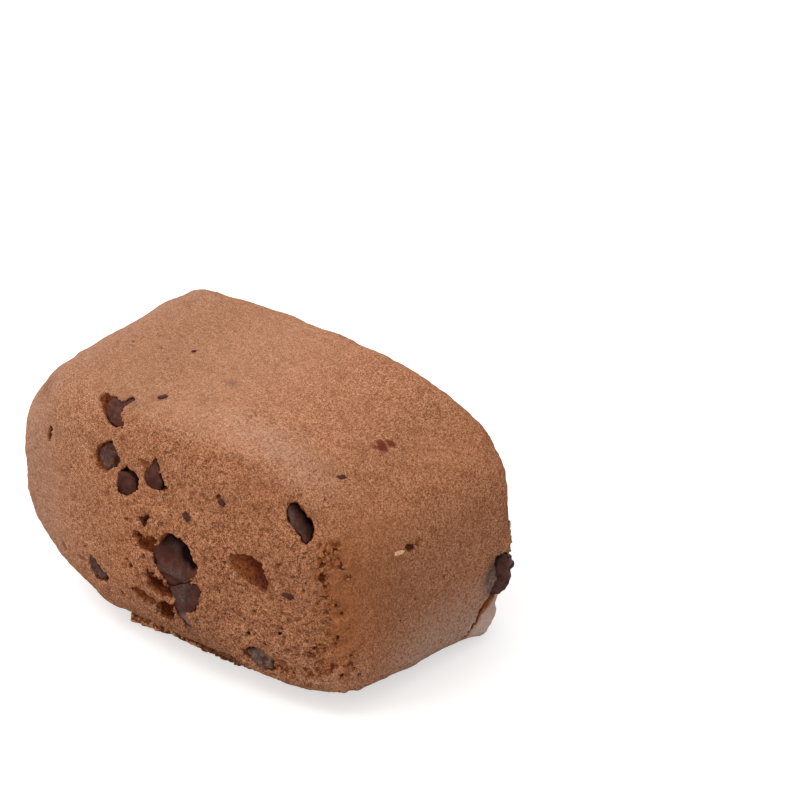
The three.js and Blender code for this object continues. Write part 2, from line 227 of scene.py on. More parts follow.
# ------------------------------------------------------------------ the chips
# at and out: the middle of the pocket on the smooth bar and the way it faces.
# pocket: the opening's outline. edge: the chip's own outline at its top.
# top: planes (depth, per mm along, per mm up) whose deepest is the chip's top.
CHIPS = {
    "chip_ridge": dict(
        at=(-8.56, -14.17, 32.26), out=(-0.01, -0.464, 0.886),
        pocket=[(-2.19, 2.67), (-2.5, 1.81), (-2.34, 1.0), (-1.96, -0.17), (-1.66, -1.15), (-1.11, -2.03), (-0.45, -2.74), (0.24, -3.03), (0.99, -2.73), (0.39, -1.61), (0.32, -0.84), (0.71, -0.54), (1.37, 0.07), (1.6, 0.4), (2.14, 0.58), (2.13, 0.9), (1.52, 1.19), (1.14, 1.06), (0.71, 0.91), (0.24, 0.84), (-0.35, 1.47), (-1.06, 2.02)],
        edge=[(-1.42, 1.51), (-1.83, 0.91), (-1.88, 0.23), (-1.74, -0.75), (-1.32, -1.54), (-0.7, -2.22), (0.04, -2.58), (0.77, -2.28), (1.44, -1.37), (1.96, 0.04), (1.98, 1.21), (1.39, 1.64), (0.47, 1.37), (-0.11, 1.35), (-0.88, 1.93)],
        top=[(0.45, 0.02, 0.0), (0.45, 0.06, -0.10)], deep=2.3, wall=1.1, slant=0.35, round=0.12, bloom_and_sheen=0.12),
    "chip_domed": dict(
        at=(-7.76, -17.75, 26.78), out=(-0.052, -0.987, 0.152),
        pocket=[(-0.07, 2.29), (-1.31, 1.49), (-1.84, 0.6), (-2.25, -0.02), (-2.14, -0.9), (-1.64, -1.56), (-0.95, -2.1), (-0.21, -1.99), (0.2, -1.46), (1.12, -1.15), (2.07, -0.47), (2.32, 0.42), (1.9, 0.96), (1.59, 1.65), (1.09, 2.18)],
        edge=[(-0.31, 1.99), (-1.38, 1.23), (-1.84, 0.49), (-1.86, -0.21), (-1.48, -0.81), (-0.87, -1.25), (-0.06, -1.4), (0.91, -1.16), (1.7, -0.51), (1.9, 0.21), (1.53, 0.7), (1.26, 1.45), (0.75, 1.89)],
        top=[(0.10, -0.22, 0.14), (0.10, 0.75, 0.25)], deep=2.3, wall=1.3, slant=0.3, round=0.4, bloom_and_sheen=0.28),
    "chip_round": dict(
        at=(-4.09, -18.15, 24.99), out=(-0.025, -0.992, 0.124),
        pocket=[(-0.32, 2.01), (0.91, 2.05), (1.84, 1.62), (2.36, 1.13), (2.17, 0.02), (1.67, -0.84), (0.65, -1.48), (-0.32, -1.85), (-1.25, -1.87), (-1.81, -1.68), (-1.87, -1.05), (-1.53, -0.27), (-1.49, 0.69), (-1.05, 1.4)],
        edge=[(-1.32, 1.14), (-0.27, 1.29), (0.67, 1.01), (1.41, 0.56), (1.53, -0.25), (1.04, -1.04), (0.13, -1.66), (-0.86, -1.99), (-1.65, -2.0), (-2.06, -1.62), (-1.91, -0.79), (-1.74, 0.31)],
        top=[(0.36, 0.0, 0.02)], deep=2.3, wall=1.7, slant=0.1, round=0.1, bloom_and_sheen=0.12),
    "chip_wedge": dict(
        at=(0.6, -17.75, 27.36), out=(0.041, -0.984, 0.171),
        pocket=[(0.08, 2.41), (0.44, 1.7), (0.82, 0.76), (1.05, -0.19), (1.38, -0.91), (1.8, -1.31), (0.8, -1.65), (0.09, -1.67), (-0.79, -1.6), (-1.44, -1.09), (-1.73, -0.33), (-1.49, 0.52), (-0.81, 1.37), (-0.33, 1.95)],
        edge=[(-0.14, 2.17), (0.18, 1.57), (0.55, 0.63), (0.71, -0.34), (0.83, -0.96), (0.68, -1.5), (-0.04, -1.69), (-0.96, -1.63), (-1.57, -1.15), (-1.87, -0.43), (-1.63, 0.39), (-0.95, 1.2), (-0.49, 1.75)],
        top=[(0.22, 0.03, 0.0)], deep=2.2, wall=1.2, slant=0.15, round=0.08, bloom_and_sheen=0.14),
    "chunk_upper": dict(
        at=(4.38, -18.34, 14.67), out=(0.097, -0.995, -0.018),
        pocket=[(-4.2, 2.97), (-3.5, 3.84), (-2.67, 5.36), (-1.85, 5.85), (-0.93, 5.69), (0.36, 5.46), (1.03, 5.12), (1.56, 4.58), (1.81, 3.85), (1.98, 3.31), (2.52, 3.0), (2.62, 2.26), (2.24, 1.23), (1.76, 0.36), (0.84, -0.62), (-0.16, -1.4), (-0.99, -2.05), (-1.65, -2.47), (-2.39, -1.76), (-3.1, -0.8), (-3.84, -0.17), (-4.26, 0.81), (-4.45, 1.88)],
        edge=[(-4.67, 2.43), (-3.97, 3.16), (-2.95, 4.5), (-2.0, 5.15), (-0.8, 5.25), (0.3, 5.05), (1.0, 4.3), (1.39, 3.25), (1.65, 2.73), (2.08, 2.43), (2.14, 1.76), (1.76, 0.73), (1.27, -0.08), (0.28, -0.81), (-0.86, -1.42), (-1.22, -1.99), (-1.76, -2.83), (-2.09, -2.96), (-2.82, -2.24), (-3.54, -1.29), (-4.28, -0.65), (-4.71, 0.33), (-4.9, 1.42)],
        top=[(0.35, 0.16, 0.52), (0.35, 0.0, -0.08), (-0.75, -0.28, 0.0)], deep=3.8, wall=2.9, slant=0.12, round=0.14, bloom_and_sheen=0.18, lump=0.09),
    "chunk_lower": dict(
        at=(5.03, -18.15, 11.41), out=(0.103, -0.993, -0.058),
        pocket=[(-2.68, 1.07), (-1.51, 1.97), (-0.37, 2.58), (0.92, 3.3), (1.6, 3.08), (2.06, 2.65), (1.9, 1.63), (1.51, 0.5), (1.1, -0.81), (0.55, -1.58), (-0.05, -1.62), (-0.37, -1.39), (-0.3, -1.9), (0.05, -2.95), (0.55, -3.75), (-0.15, -4.2), (-1.02, -3.55), (-1.9, -2.8), (-2.15, -1.61), (-1.92, -0.21), (-2.41, 0.54)],
        edge=[(-2.81, 0.9), (-1.63, 1.81), (-0.5, 2.42), (0.8, 3.14), (1.47, 2.93), (1.93, 2.49), (1.78, 1.47), (1.39, 0.34), (0.98, -0.97), (0.42, -1.74), (-0.17, -1.78), (-0.5, -1.55), (-0.45, -2.06), (-0.1, -3.1), (0.4, -3.9), (-0.3, -4.35), (-1.14, -3.72), (-2.03, -2.97), (-2.28, -1.77), (-2.05, -0.38), (-2.54, 0.38)],
        top=[(0.20, 0.02, -0.02), (-0.35, 0.60, 0.0)], deep=2.6, wall=1.4, slant=0.15, round=0.16, bloom_and_sheen=0.38, lump=0.08),
    "chip_corner": dict(
        at=(19.72, -13.63, 26.32), out=(0.497, -0.682, 0.537),
        pocket=[(-1.38, 2.48), (-0.54, 2.67), (0.03, 2.01), (0.8, 1.19), (1.39, 0.37), (1.62, -0.48), (1.53, -1.43), (1.06, -2.05), (0.59, -2.33), (0.13, -1.93), (-0.06, -1.35), (-0.46, -0.99), (-0.64, -0.52), (-1.16, -0.04), (-1.41, 0.69), (-1.51, 1.65)],
        edge=[(-1.34, 2.38), (-0.64, 2.54), (-0.1, 1.91), (0.62, 1.09), (1.21, 0.28), (1.42, -0.49), (1.34, -1.39), (0.92, -1.95), (0.55, -2.19), (0.18, -1.85), (0.01, -1.27), (-0.41, -0.91), (-0.58, -0.46), (-1.11, 0.02), (-1.35, 0.7), (-1.45, 1.6)],
        top=[(0.32, 0.20, 0.10), (0.70, 1.45, 0.75)], deep=3.2, wall=2.7, slant=0.05, round=0.12, bloom_and_sheen=0.30),
    "chip_low_left": dict(
        at=(-10.86, -17.93, 9.11), out=(-0.089, -0.992, -0.089),
        pocket=[(-1.35, 2.15), (-0.5, 1.81), (0.28, 1.02), (1.19, 0.58), (1.86, 0.27), (1.83, -0.51), (1.01, -1.31), (-0.34, -1.97), (-0.85, -1.69), (-1.4, -0.77), (-1.64, 0.49)],
        edge=[(-1.44, 1.89), (-0.77, 1.54), (-0.01, 0.74), (0.9, 0.28), (1.58, 0.02), (1.37, -0.52), (0.63, -0.91), (-0.47, -1.31), (-0.91, -1.12), (-1.41, -0.55), (-1.66, 0.4)],
        top=[(0.12, 0.0, 0.04)], deep=2.0, wall=1.3, slant=0.1, round=0.1, bloom_and_sheen=0.95),
    "chip_base": dict(
        at=(14.83, -16.2, 6.38), out=(0.202, -0.975, -0.089),
        pocket=[(-2.4, 0.5), (-1.62, 1.23), (-0.75, 1.87), (0.42, 1.58), (1.38, 1.21), (2.08, 0.57), (1.8, -0.15), (2.57, -0.86), (1.15, -1.84), (0.11, -2.06), (-0.85, -1.42), (-1.62, -0.59), (-2.32, -0.1)],
        edge=[(-1.99, 0.38), (-1.51, 0.84), (-0.79, 1.35), (0.1, 1.11), (0.97, 0.75), (1.63, 0.11), (1.51, -0.53), (1.86, -1.08), (1.0, -1.7), (0.13, -1.92), (-0.77, -1.28), (-1.51, -0.54), (-2.02, -0.16)],
        top=[(0.14, 0.0, -0.05), (0.0, 0.28, 0.2)], deep=2.2, wall=1.5, slant=0.1, round=0.3, bloom_and_sheen=0.9),
    "chip_side": dict(
        at=(30.29, 11.9, 10.07), out=(0.989, -0.143, -0.035),
        pocket=[(-1.55, 2.0), (-1.2, 3.05), (-0.3, 3.3), (0.6, 2.95), (2.2, 1.75), (3.2, 1.0), (3.6, 0.0), (3.3, -1.6), (2.2, -2.9), (0.6, -3.6), (-0.91, -3.54), (-1.78, -2.5), (-1.39, -1.8), (-0.7, -1.15), (-0.86, 0.4), (-1.3, 1.73)],
        edge=[(-1.45, 1.90), (-1.05, 2.9), (-0.2, 3.1), (0.6, 2.75), (2.0, 1.6), (3.0, 0.9), (3.4, 0.0), (3.1, -1.5), (2.0, -2.7), (0.5, -3.4), (-0.91, -3.54), (-1.78, -2.5), (-1.39, -1.8), (-0.59, -1.15), (-0.76, 0.4), (-1.22, 1.73)],
        top=[(-0.62, 0.10, 0.0), (0.0, -0.46, 0.0), (-0.75, 0.0, 0.14), (-0.7, 0.0, -0.14)], deep=2.8, wall=1.0, slant=0.2, round=0.3, bloom_and_sheen=0.10, lump=0.16, gloss=1.0),
    "chip_back_1": dict(
        at=(9.5, 17.9, 21.5), out=(0.03, 0.99, 0.10), pocket=blob(41, 5.0, 3.8, 0.93), edge=blob(41, 4.5, 3.3, 0.93),
        top=[(0.15, -0.2, 0.1), (0.1, 0.3, -0.15)], deep=2.2, wall=1.5, slant=0.15, round=0.35, bloom_and_sheen=0.3),
    "chip_back_2": dict(
        at=(-7.5, 17.6, 24.5), out=(-0.03, 0.99, 0.15), pocket=blob(42, 4.6, 3.4, -0.45), edge=blob(42, 4.1, 2.9, -0.45),
        top=[(0.3, 0.05, 0.05)], deep=2.1, wall=1.4, slant=0.15, round=0.12, bloom_and_sheen=0.15),
    "chip_back_3": dict(
        at=(-14.0, 17.4, 12.0), out=(-0.08, 0.99, -0.05), pocket=blob(43, 4.8, 3.7, 1.37), edge=blob(43, 4.3, 3.2, 1.37),
        top=[(0.1, 0.2, 0.1), (0.15, -0.35, 0.05)], deep=2.2, wall=1.5, slant=0.15, round=0.45, bloom_and_sheen=0.3),
    "chip_back_4": dict(
        at=(18.5, 17.5, 9.0), out=(0.06, 0.99, -0.06), pocket=blob(44, 5.8, 4.3, 0.64), edge=blob(44, 5.2, 3.7, 0.64),
        top=[(0.25, 0.1, -0.1), (0.3, -0.2, 0.1)], deep=2.5, wall=1.7, slant=0.15, round=0.2, bloom_and_sheen=0.2),
}

# Hollows with no chip. floor: planes whose shallowest is the hollow's depth;
# rough: how uneven its floor is; torn: how much it shows the crumb inside.
# stain: how dark the hollow's inside is painted, partly chocolate stain and partly painted shade
HOLLOWS = {
    "print_empty": dict(
        at=(14.24, -16.69, 19.17), out=(0.223, -0.974, 0.028), edge=[(-2.66, 1.81), (-1.88, 2.09), (-0.65, 2.13), (0.29, 2.12), (1.13, 1.85), (1.8, 1.33), (1.99, 0.48), (2.15, -0.62), (2.3, -1.89), (2.01, -2.45), (1.42, -2.16), (0.65, -2.1), (-0.34, -1.96), (-1.28, -1.35), (-2.01, -0.67), (-2.31, 0.25), (-2.56, 1.17)],
        floor=[(1.00, 0.46, 0.26), (1.9, 0.0, 0.0)], rough=0.05, torn=0.85, stain_and_shade=0.30, slant=0.06),
    "print_wedge": dict(
        at=(-1.6, -17.58, 28.37), out=(0.014, -0.949, 0.315), edge=[(-1.69, 0.75), (-0.61, 0.51), (1.3, 0.21), (1.13, -0.17), (0.72, -0.69), (0.0, -0.59), (-0.85, -0.03)],
        floor=[(0.45, 0.25, 0.1)], rough=0.03, torn=0.8, stain_and_shade=0.0, slant=0.3),
    "print_between": dict(
        at=(-6.0, -18.0, 25.61), out=(-0.04, -0.99, 0.133), edge=[(-1.6, -0.11), (-0.31, 0.29), (0.62, 0.85), (1.16, 1.06), (0.68, 0.48), (0.37, -0.12), (0.29, -1.12), (-0.31, -0.89), (-1.0, -0.48)],
        floor=[(0.35, 0.1, 0.0)], rough=0.05, torn=0.8, stain_and_shade=0.0, slant=0.4),
    "torn_a": dict(
        at=(-1.21, -18.67, 17.88), out=(0.017, -1.0, 0.022), edge=[(-2.04, 0.9), (-1.16, 1.45), (-0.35, 1.11), (0.64, 1.06), (1.81, 1.23), (2.46, 1.12), (1.41, -0.52), (1.0, -1.44), (0.25, -1.45), (-0.41, -1.42), (-0.91, -1.32), (-1.1, -0.67), (-1.71, -0.05)],
        floor=[(1.15, 0.30, -0.25)], rough=0.26, torn=1.0, stain_and_shade=0.38, slant=0.15),
    "torn_b": dict(
        at=(0.59, -18.54, 12.44), out=(0.045, -0.998, -0.049), edge=[(-2.02, 1.35), (-1.33, 1.47), (-0.7, 1.29), (-0.07, 1.04), (0.55, 0.78), (1.39, 0.32), (2.14, -0.26), (2.41, -1.38), (1.47, -1.52), (0.17, -1.6), (-0.96, -1.29), (-1.44, -0.53), (-1.67, 0.3)],
        floor=[(2.3, 0.3, 0.35)], rough=0.15, torn=1.0, stain_and_shade=0.38, slant=0.05),
    "torn_c": dict(
        at=(-2.11, -18.38, 9.41), out=(-0.0, -0.996, -0.094), edge=[(-2.26, 0.16), (-1.07, 0.78), (-0.24, 0.63), (0.63, 0.78), (1.46, 0.58), (2.31, 0.65), (1.87, -0.35), (0.8, -0.79), (-0.24, -0.96), (-1.27, -0.96), (-2.09, -0.58)],
        floor=[(1.1, 0.1, 0.25)], rough=0.25, torn=0.85, stain_and_shade=0.28, slant=0.3),
    "torn_d": dict(
        at=(1.43, -18.21, 8.64), out=(0.052, -0.993, -0.103), edge=[(-1.33, 0.87), (-0.15, 1.5), (0.83, 1.69), (1.25, 1.08), (1.14, -0.07), (1.39, -0.86), (0.36, -1.59), (-0.61, -1.61), (-1.36, -1.0), (-1.51, -0.06)],
        floor=[(1.7, 0.1, 0.2)], rough=0.22, torn=1.0, stain_and_shade=0.50, slant=0.1),
    "hole": dict(
        at=(-1.04, -18.53, 21.05), out=(0.02, -0.998, 0.064), edge=[(-0.86, 0.17), (-0.09, 0.49), (0.86, 0.9), (0.65, 0.33), (0.36, -0.11), (-0.04, -1.0), (-0.34, -0.62), (-0.59, -0.22)],
        floor=[(1.6, 0.3, 0.3)], rough=0.2, torn=0.6, stain_and_shade=0.6, slant=0.0),
    "hole_small": dict(
        at=(-3.89, -18.57, 20.14), out=(-0.026, -0.998, 0.051), edge=[(-0.48, 0.0), (0.17, 0.38), (0.6, 0.25), (0.11, -0.27), (-0.43, -0.4)],
        floor=[(0.5, 0.0, 0.0)], rough=0.1, torn=1.0, stain_and_shade=0.0, slant=0.2),
    "slit": dict(
        at=(-18.51, -16.8, 26.04), out=(-0.141, -0.986, 0.089), edge=[(0.33, 1.6), (0.63, 0.88), (0.42, -0.0), (0.05, -1.04), (-0.6, -1.2), (-0.63, -0.6), (-0.21, 0.35)],
        floor=[(1.4, 0.2, -0.3)], rough=0.1, torn=0.8, stain_and_shade=0.3, slant=0.1),
    "pit_skin": dict(
        at=(27.7, -3.17, 20.88), out=(0.969, -0.16, 0.189), edge=[(-0.82, 0.28), (-0.34, 0.66), (0.61, 0.44), (0.74, -0.34), (0.29, -0.74), (-0.5, -0.3)],
        floor=[(1.0, 0.0, 0.3)], rough=0.1, torn=0.6, stain_and_shade=0.3, slant=0.1),
    "pit_skin2": dict(
        at=(27.9, -1.89, 20.91), out=(0.969, -0.16, 0.188), edge=[(-0.59, 0.1), (-0.02, 0.34), (0.62, 0.18), (0.36, -0.34), (-0.34, -0.29)],
        floor=[(0.5, 0.0, 0.0)], rough=0.1, torn=1.0, stain_and_shade=0.2, slant=0.2),
    "pit_b": dict(
        at=(9.7, -16.73, 27.75), out=(0.174, -0.926, 0.335), edge=[(-0.49, 0.17), (0.12, 0.4), (0.52, 0.07), (0.18, -0.37), (-0.36, -0.29)],
        floor=[(0.8, 0.0, 0.3)], rough=0.1, torn=1.0, stain_and_shade=0.0, slant=0.1),
    "slit_b": dict(
        at=(4.15, -18.04, 23.47), out=(0.09, -0.991, 0.096), edge=[(-1.0, 0.37), (-0.11, 0.15), (0.79, 0.1), (0.62, -0.32), (-0.28, -0.3)],
        floor=[(0.45, 0.1, 0.2)], rough=0.1, torn=0.6, stain_and_shade=0.2, slant=0.2),
    "pit_under": dict(
        at=(18.17, -15.73, 16.0), out=(0.271, -0.963, 0.002), edge=[(-0.33, 0.08), (0.07, 0.41), (0.32, 0.26), (0.17, -0.28), (-0.22, -0.46)],
        floor=[(0.7, 0.0, 0.0)], rough=0.1, torn=0.6, stain_and_shade=0.4, slant=0.1),
    "dent_1": dict(
        at=(-17.99, -17.07, 9.34), out=(-0.154, -0.986, -0.063), edge=[(-0.32, 0.75), (0.44, 0.71), (0.62, -0.18), (-0.05, -0.83), (-0.65, -0.44)],
        floor=[(0.5, 0.0, 0.2)], rough=0.05, torn=0.6, stain_and_shade=0.1, slant=0.3),
    "dent_2": dict(
        at=(-14.15, -17.6, 9.38), out=(-0.12, -0.99, -0.077), edge=[(-1.08, 0.23), (0.21, 0.51), (0.97, 0.14), (0.47, -0.42), (-0.57, -0.47)],
        floor=[(0.5, 0.1, 0.3)], rough=0.05, torn=0.3, stain_and_shade=0.0, slant=0.3),
    "dent_3": dict(
        at=(-6.6, -18.02, 7.31), out=(-0.048, -0.991, -0.125), edge=[(-0.7, 0.69), (0.2, 0.57), (0.74, -0.14), (0.19, -0.86), (-0.47, -0.31)],
        floor=[(0.7, 0.2, 0.3)], rough=0.05, torn=0.2, stain_and_shade=0.0, slant=0.3),
}

# Places where the skin is gone and loose crumb shows: x, y, z, reach.
CRUMBLY = [
    (22.6, -12.95, 23.95, 0.77), (23.56, -11.96, 23.96, 0.7), (22.73, -13.5, 22.5, 0.9), (24.06, -12.42, 22.2, 0.8),
    (22.83, -13.87, 20.51, 0.8), (23.32, -13.63, 18.47, 0.5), (24.04, -13.08, 16.77, 0.6), (24.54, -12.63, 15.31, 0.6),
    (24.26, -12.9, 13.03, 0.5), (24.13, -12.99, 10.83, 0.75), (22.8, -13.99, 10.07, 0.7), (21.58, -14.59, 9.12, 0.55),
    (24.98, -12.04, 8.14, 0.75), (23.0, -13.76, 7.36, 1.15), (24.73, -12.17, 5.72, 0.8), (21.08, -14.66, 6.1, 0.9),
    (18.0, -15.47, 6.17, 0.95),
]
# Chocolate bits: where, which way they face, length, width, angle, how grey.
BITS = [
    ((18.99, -15.49, 16.99), (0.28, -0.96, 0.01), 1.5, 1.05, -0.1, 0.35),
    ((10.33, -16.78, 27.24), (0.175, -0.949, 0.262), 1.15, 0.85, -0.9, 0.15),
    ((5.47, -17.87, 23.82), (0.106, -0.99, 0.098), 1.4, 1.2, -1.2, 0.35),
    ((-9.16, -0.19, 33.67), (0.0, -0.04, 1.0), 0.75, 0.45, 0.5, 0.2),
    ((-4.60, -10.50, 33.32), (0.02, -0.04, 1.0), 1.5, 0.75, 0.45, 0.7),
    ((19.70, -6.20, 29.13), (0.47, -0.1, 0.88), 1.75, 0.65, 0.25, 0.4),
    ((20.05, 1.59, 29.74), (0.44, -0.1, 0.89), 0.5, 0.3, 0.2, 0.4),
    ((24.5, -12.2, 21.55), (0.7, -0.67, 0.23), 0.9, 0.4, -0.8, 0.3),
]
# Grey places on the chips, partly bloom and partly a painted highlight on facets that face the light: along, up, reach
# along, reach up, strength.
BLOOM_AND_HIGHLIGHTS = {"chunk_upper": [(-1.7, 0.15, 2.0, 0.75, 0.85), (-2.1, 3.2, 0.9, 0.5, 1.2)], "chunk_lower": [(-0.6, 0.8, 1.1, 1.7, 0.9), (-0.7, -3.3, 0.9, 1.2, 1.3)],
         "chip_domed": [(0.1, 0.4, 0.35, 1.1, 0.75)], "chip_ridge": [(1.6, 0.9, 0.6, 0.4, 0.8)],
         "chip_corner": [(-0.95, 0.7, 0.32, 1.3, 0.8), (0.1, -0.8, 0.5, 0.3, 0.7)]}
# Places on the chips painted dark as shade, in the same way.
SHADES = {"chunk_upper": [(0.25, 3.1, 1.15, 1.15, 2.4), (0.95, 2.0, 0.6, 0.8, 2.2), (-0.9, 4.7, 1.4, 0.45, 1.0)],
          "chip_domed": [(1.3, 0.2, 0.5, 1.2, 0.7), (-1.6, 0.0, 0.4, 1.0, 0.3)],
          "chip_round": [(1.3, 0.6, 0.5, 0.7, 0.5), (-1.5, -1.4, 0.5, 0.5, 0.5)], "chip_wedge": [(0.7, -1.2, 0.4, 0.5, 0.5)],
          "chip_side": [(-0.5, 2.7, 0.9, 0.6, 1.0), (-0.9, 1.4, 0.35, 0.9, 0.8), (2.9, 0.3, 0.6, 1.5, 0.7), (1.6, 2.2, 0.5, 0.5, 0.6)]}
# Reddish places on the chips, in the same way.
REDS = {"chunk_upper": [(-4.4, 1.2, 0.8, 1.0, 0.9), (-2.2, 1.9, 1.7, 1.3, 0.6), (-3.6, -1.3, 1.1, 0.6, 1.0), (1.4, 0.5, 0.8, 0.7, 1.0), (-0.9, -1.5, 1.3, 0.35, 0.7)],
        "chunk_lower": [(1.25, 1.2, 0.5, 1.5, 1.0), (0.5, -1.4, 0.5, 0.8, 0.9)],
        "chip_side": [(1.0, 0.2, 1.0, 1.4, 0.45), (2.3, 1.0, 0.6, 0.7, 0.8)], "chip_domed": [(-1.2, 0.9, 0.5, 0.5, 0.5)]}
# Reddish marks on the skin: x, y, z, radius, strength. The last three, in the empty print, darken its deeper right-hand
# part, partly stain and partly painted shade.
MARKS = [(19.9, 1.15, 29.85, 0.85, 1.0), (20.35, 2.4, 29.65, 0.70, 0.95), (19.68, 0.4, 29.8, 0.55, 0.8), (-5.5, -16.7, 30.0, 0.75, 0.4),
         (-4.6, -10.5, 33.26, 0.7, 0.4), (18.34, 3.76, 30.74, 0.35, 0.4),
         (20.87, 5.21, 29.72, 0.3, 0.5), (-5.9, -11.2, 33.3, 0.5, 0.3), (15.35, -15.2, 18.3, 1.25, 1.0), (14.9, -15.5, 20.0, 1.0, 0.8),
         (15.6, -15.9, 17.4, 0.7, 0.8)]
# Openings between the crumbs of the upright edge, cut as pits and painted dark as shade: x, y, z, across, up.
GAPS = [(23.53, -12.18, 23.69, 0.30, 0.26), (22.85, -13.01, 23.43, 0.24, 0.30), (22.62, -13.36, 23.08, 0.26, 0.24), (22.84, -13.5, 22.27, 0.36, 0.26),
        (22.92, -13.83, 20.32, 0.42, 0.62), (23.27, -13.65, 19.17, 0.16, 0.26), (23.32, -13.64, 17.77, 0.62, 0.14), (24.17, -12.96, 16.54, 0.20, 0.18),
        (24.65, -12.52, 15.39, 0.22, 0.40), (25.28, -11.82, 13.29, 0.16, 0.28), (24.30, -12.85, 11.78, 0.18, 0.22), (24.05, -13.07, 10.98, 0.20, 0.30),
        (22.59, -14.13, 10.85, 0.30, 0.16), (21.65, -14.57, 9.40, 0.40, 0.18), (25.38, -11.58, 8.89, 0.26, 0.16), (25.31, -11.61, 7.74, 0.26, 0.18),
        (25.54, -11.25, 6.93, 0.18, 0.20), (24.44, -12.5, 6.17, 0.30, 0.24), (25.13, -11.77, 20.27, 0.18, 0.16), (24.3, -12.0, 21.9, 0.16, 0.42)]
FOOT = [(-8.7, -13.75, 0.45, 1.00), (-5.7, -13.10, 0.45, 1.12), (-3.2, -12.55, 0.35, 1.05), (-1.0, -12.55, 0.32, 1.0),
        (3.5, -12.35, 0.20, 0.95), (7.6, -12.20, 0.10, 0.85), (10.5, -11.9, 0.0, 0.6)]
TEAR = [(28.2, 5.8, 1.4, 0.16), (28.6, 6.35, 2.3, 0.20), (29.00, 7.15, 3.45, 0.26), (29.2, 8.10, 4.3, 0.32), (29.47, 8.70, 5.25, 0.42),
        (29.68, 9.50, 5.85, 0.52), (29.92, 10.45, 6.80, 0.60), (29.9, 12.6, 8.2, 0.65), (29.3, 15.8, 9.2, 0.60)]


# Where the bar stands out of its plain outline or falls short: at, reach, how much.
NUDGES = [((-20.5, -2.0, 32.8), (5.0, 6.0, 3.0), 0.50), ((-22.6, -13.5, 30.0), (3.0, 3.0, 2.6), -0.50),
          ((-10.4, -16.2, 3.9), (2.6, 2.5, 2.2), 0.65), ((30.2, 14.6, 18.2), (3.0, 3.0, 4.6), -0.50),
          ((29.4, 14.4, 6.0), (2.6, 2.2, 1.4), -0.75), ((29.2, 14.2, 4.2), (2.4, 1.9, 1.5), -0.95), ((29.0, 10.3, 1.8), (2.0, 2.2, 1.2), 0.75)]
# How far up the underside reaches above the foot: x, height across the view.
UNDERSIDE = [(-12.0, -5.2), (-10.0, -4.5), (-8.6, -4.2), (-5.7, -3.92), (-3.2, -4.0), (-1.0, -4.1), (3.5, -4.35), (7.6, -4.65), (11.0, -5.3)]


SLIT = [(28.45, 5.15, 1.2, 0.24), (28.6, 5.7, 1.65, 0.27), (28.65, 6.05, 2.1, 0.28), (28.7, 6.42, 2.65, 0.30), (28.75, 7.2, 3.5, 0.34), (28.70, 8.0, 4.35, 0.38),
        (28.75, 8.65, 5.25, 0.42), (28.95, 9.4, 5.95, 0.44), (29.15, 10.35, 6.95, 0.40), (29.1, 12.5, 8.3, 0.34)]


def rope_distance(P, route):
    """Distance from points to a rope of varying radius."""
    best = None
    for (x0, y0, z0, r0), (x1, y1, z1, r1) in zip(route, route[1:]):
        a, e = np.array([x0, y0, z0]), np.array([x1 - x0, y1 - y0, z1 - z0])
        t = np.clip(((P - a) @ e) / (e @ e), 0, 1)
        d = np.linalg.norm(P - a - t[..., None] * e, axis=-1) - (r0 + (r1 - r0) * t)
        best = d if best is None else np.minimum(best, d)
    return best


def chip_distance(chip, a, b, s, P, fine=True):
    """Distance to a chip; a and b run along its face and s is depth."""
    d = edge_distance(a, b, chip["soft_edge"])
    top = None
    for depth, ka, kb in chip["top"]:
        plane = depth + ka * a + kb * b
        top = plane if top is None else -soft_min(-top, -plane, 0.12)
    if fine:
        top = top + chip.get("lump", 0.05) * noise(P, 1.5, 21).reshape(a.shape) + 0.012 * noise(P, 0.45, 22).reshape(a.shape)
        d = d + 0.05 * noise(P, 1.1, 23).reshape(a.shape)
    d = d + chip["slant"] * 0.6 * np.maximum(s - top, 0)
    return rounded_max(rounded_max(d, top - s, chip["round"]), s - chip["deep"], 0.5)


for chip in CHIPS.values():
    chip["n"], chip["a"], chip["b"] = axes(chip["out"])
    chip["at"] = np.array(chip["at"], float)
    chip["soft_edge"] = soften(chip["edge"], 1)
    chip["reach"] = float(np.abs(np.array(chip["pocket"])).max() * 1.15 + 1.6)
for hollow in HOLLOWS.values():
    hollow["n"], hollow["a"], hollow["b"] = axes(hollow["out"])
    hollow["at"] = np.array(hollow["at"], float)
    hollow["soft_edge"] = soften(hollow["edge"], 1)
    hollow["reach"] = float(np.abs(np.array(hollow["edge"])).max() * 1.15 + 1.2)


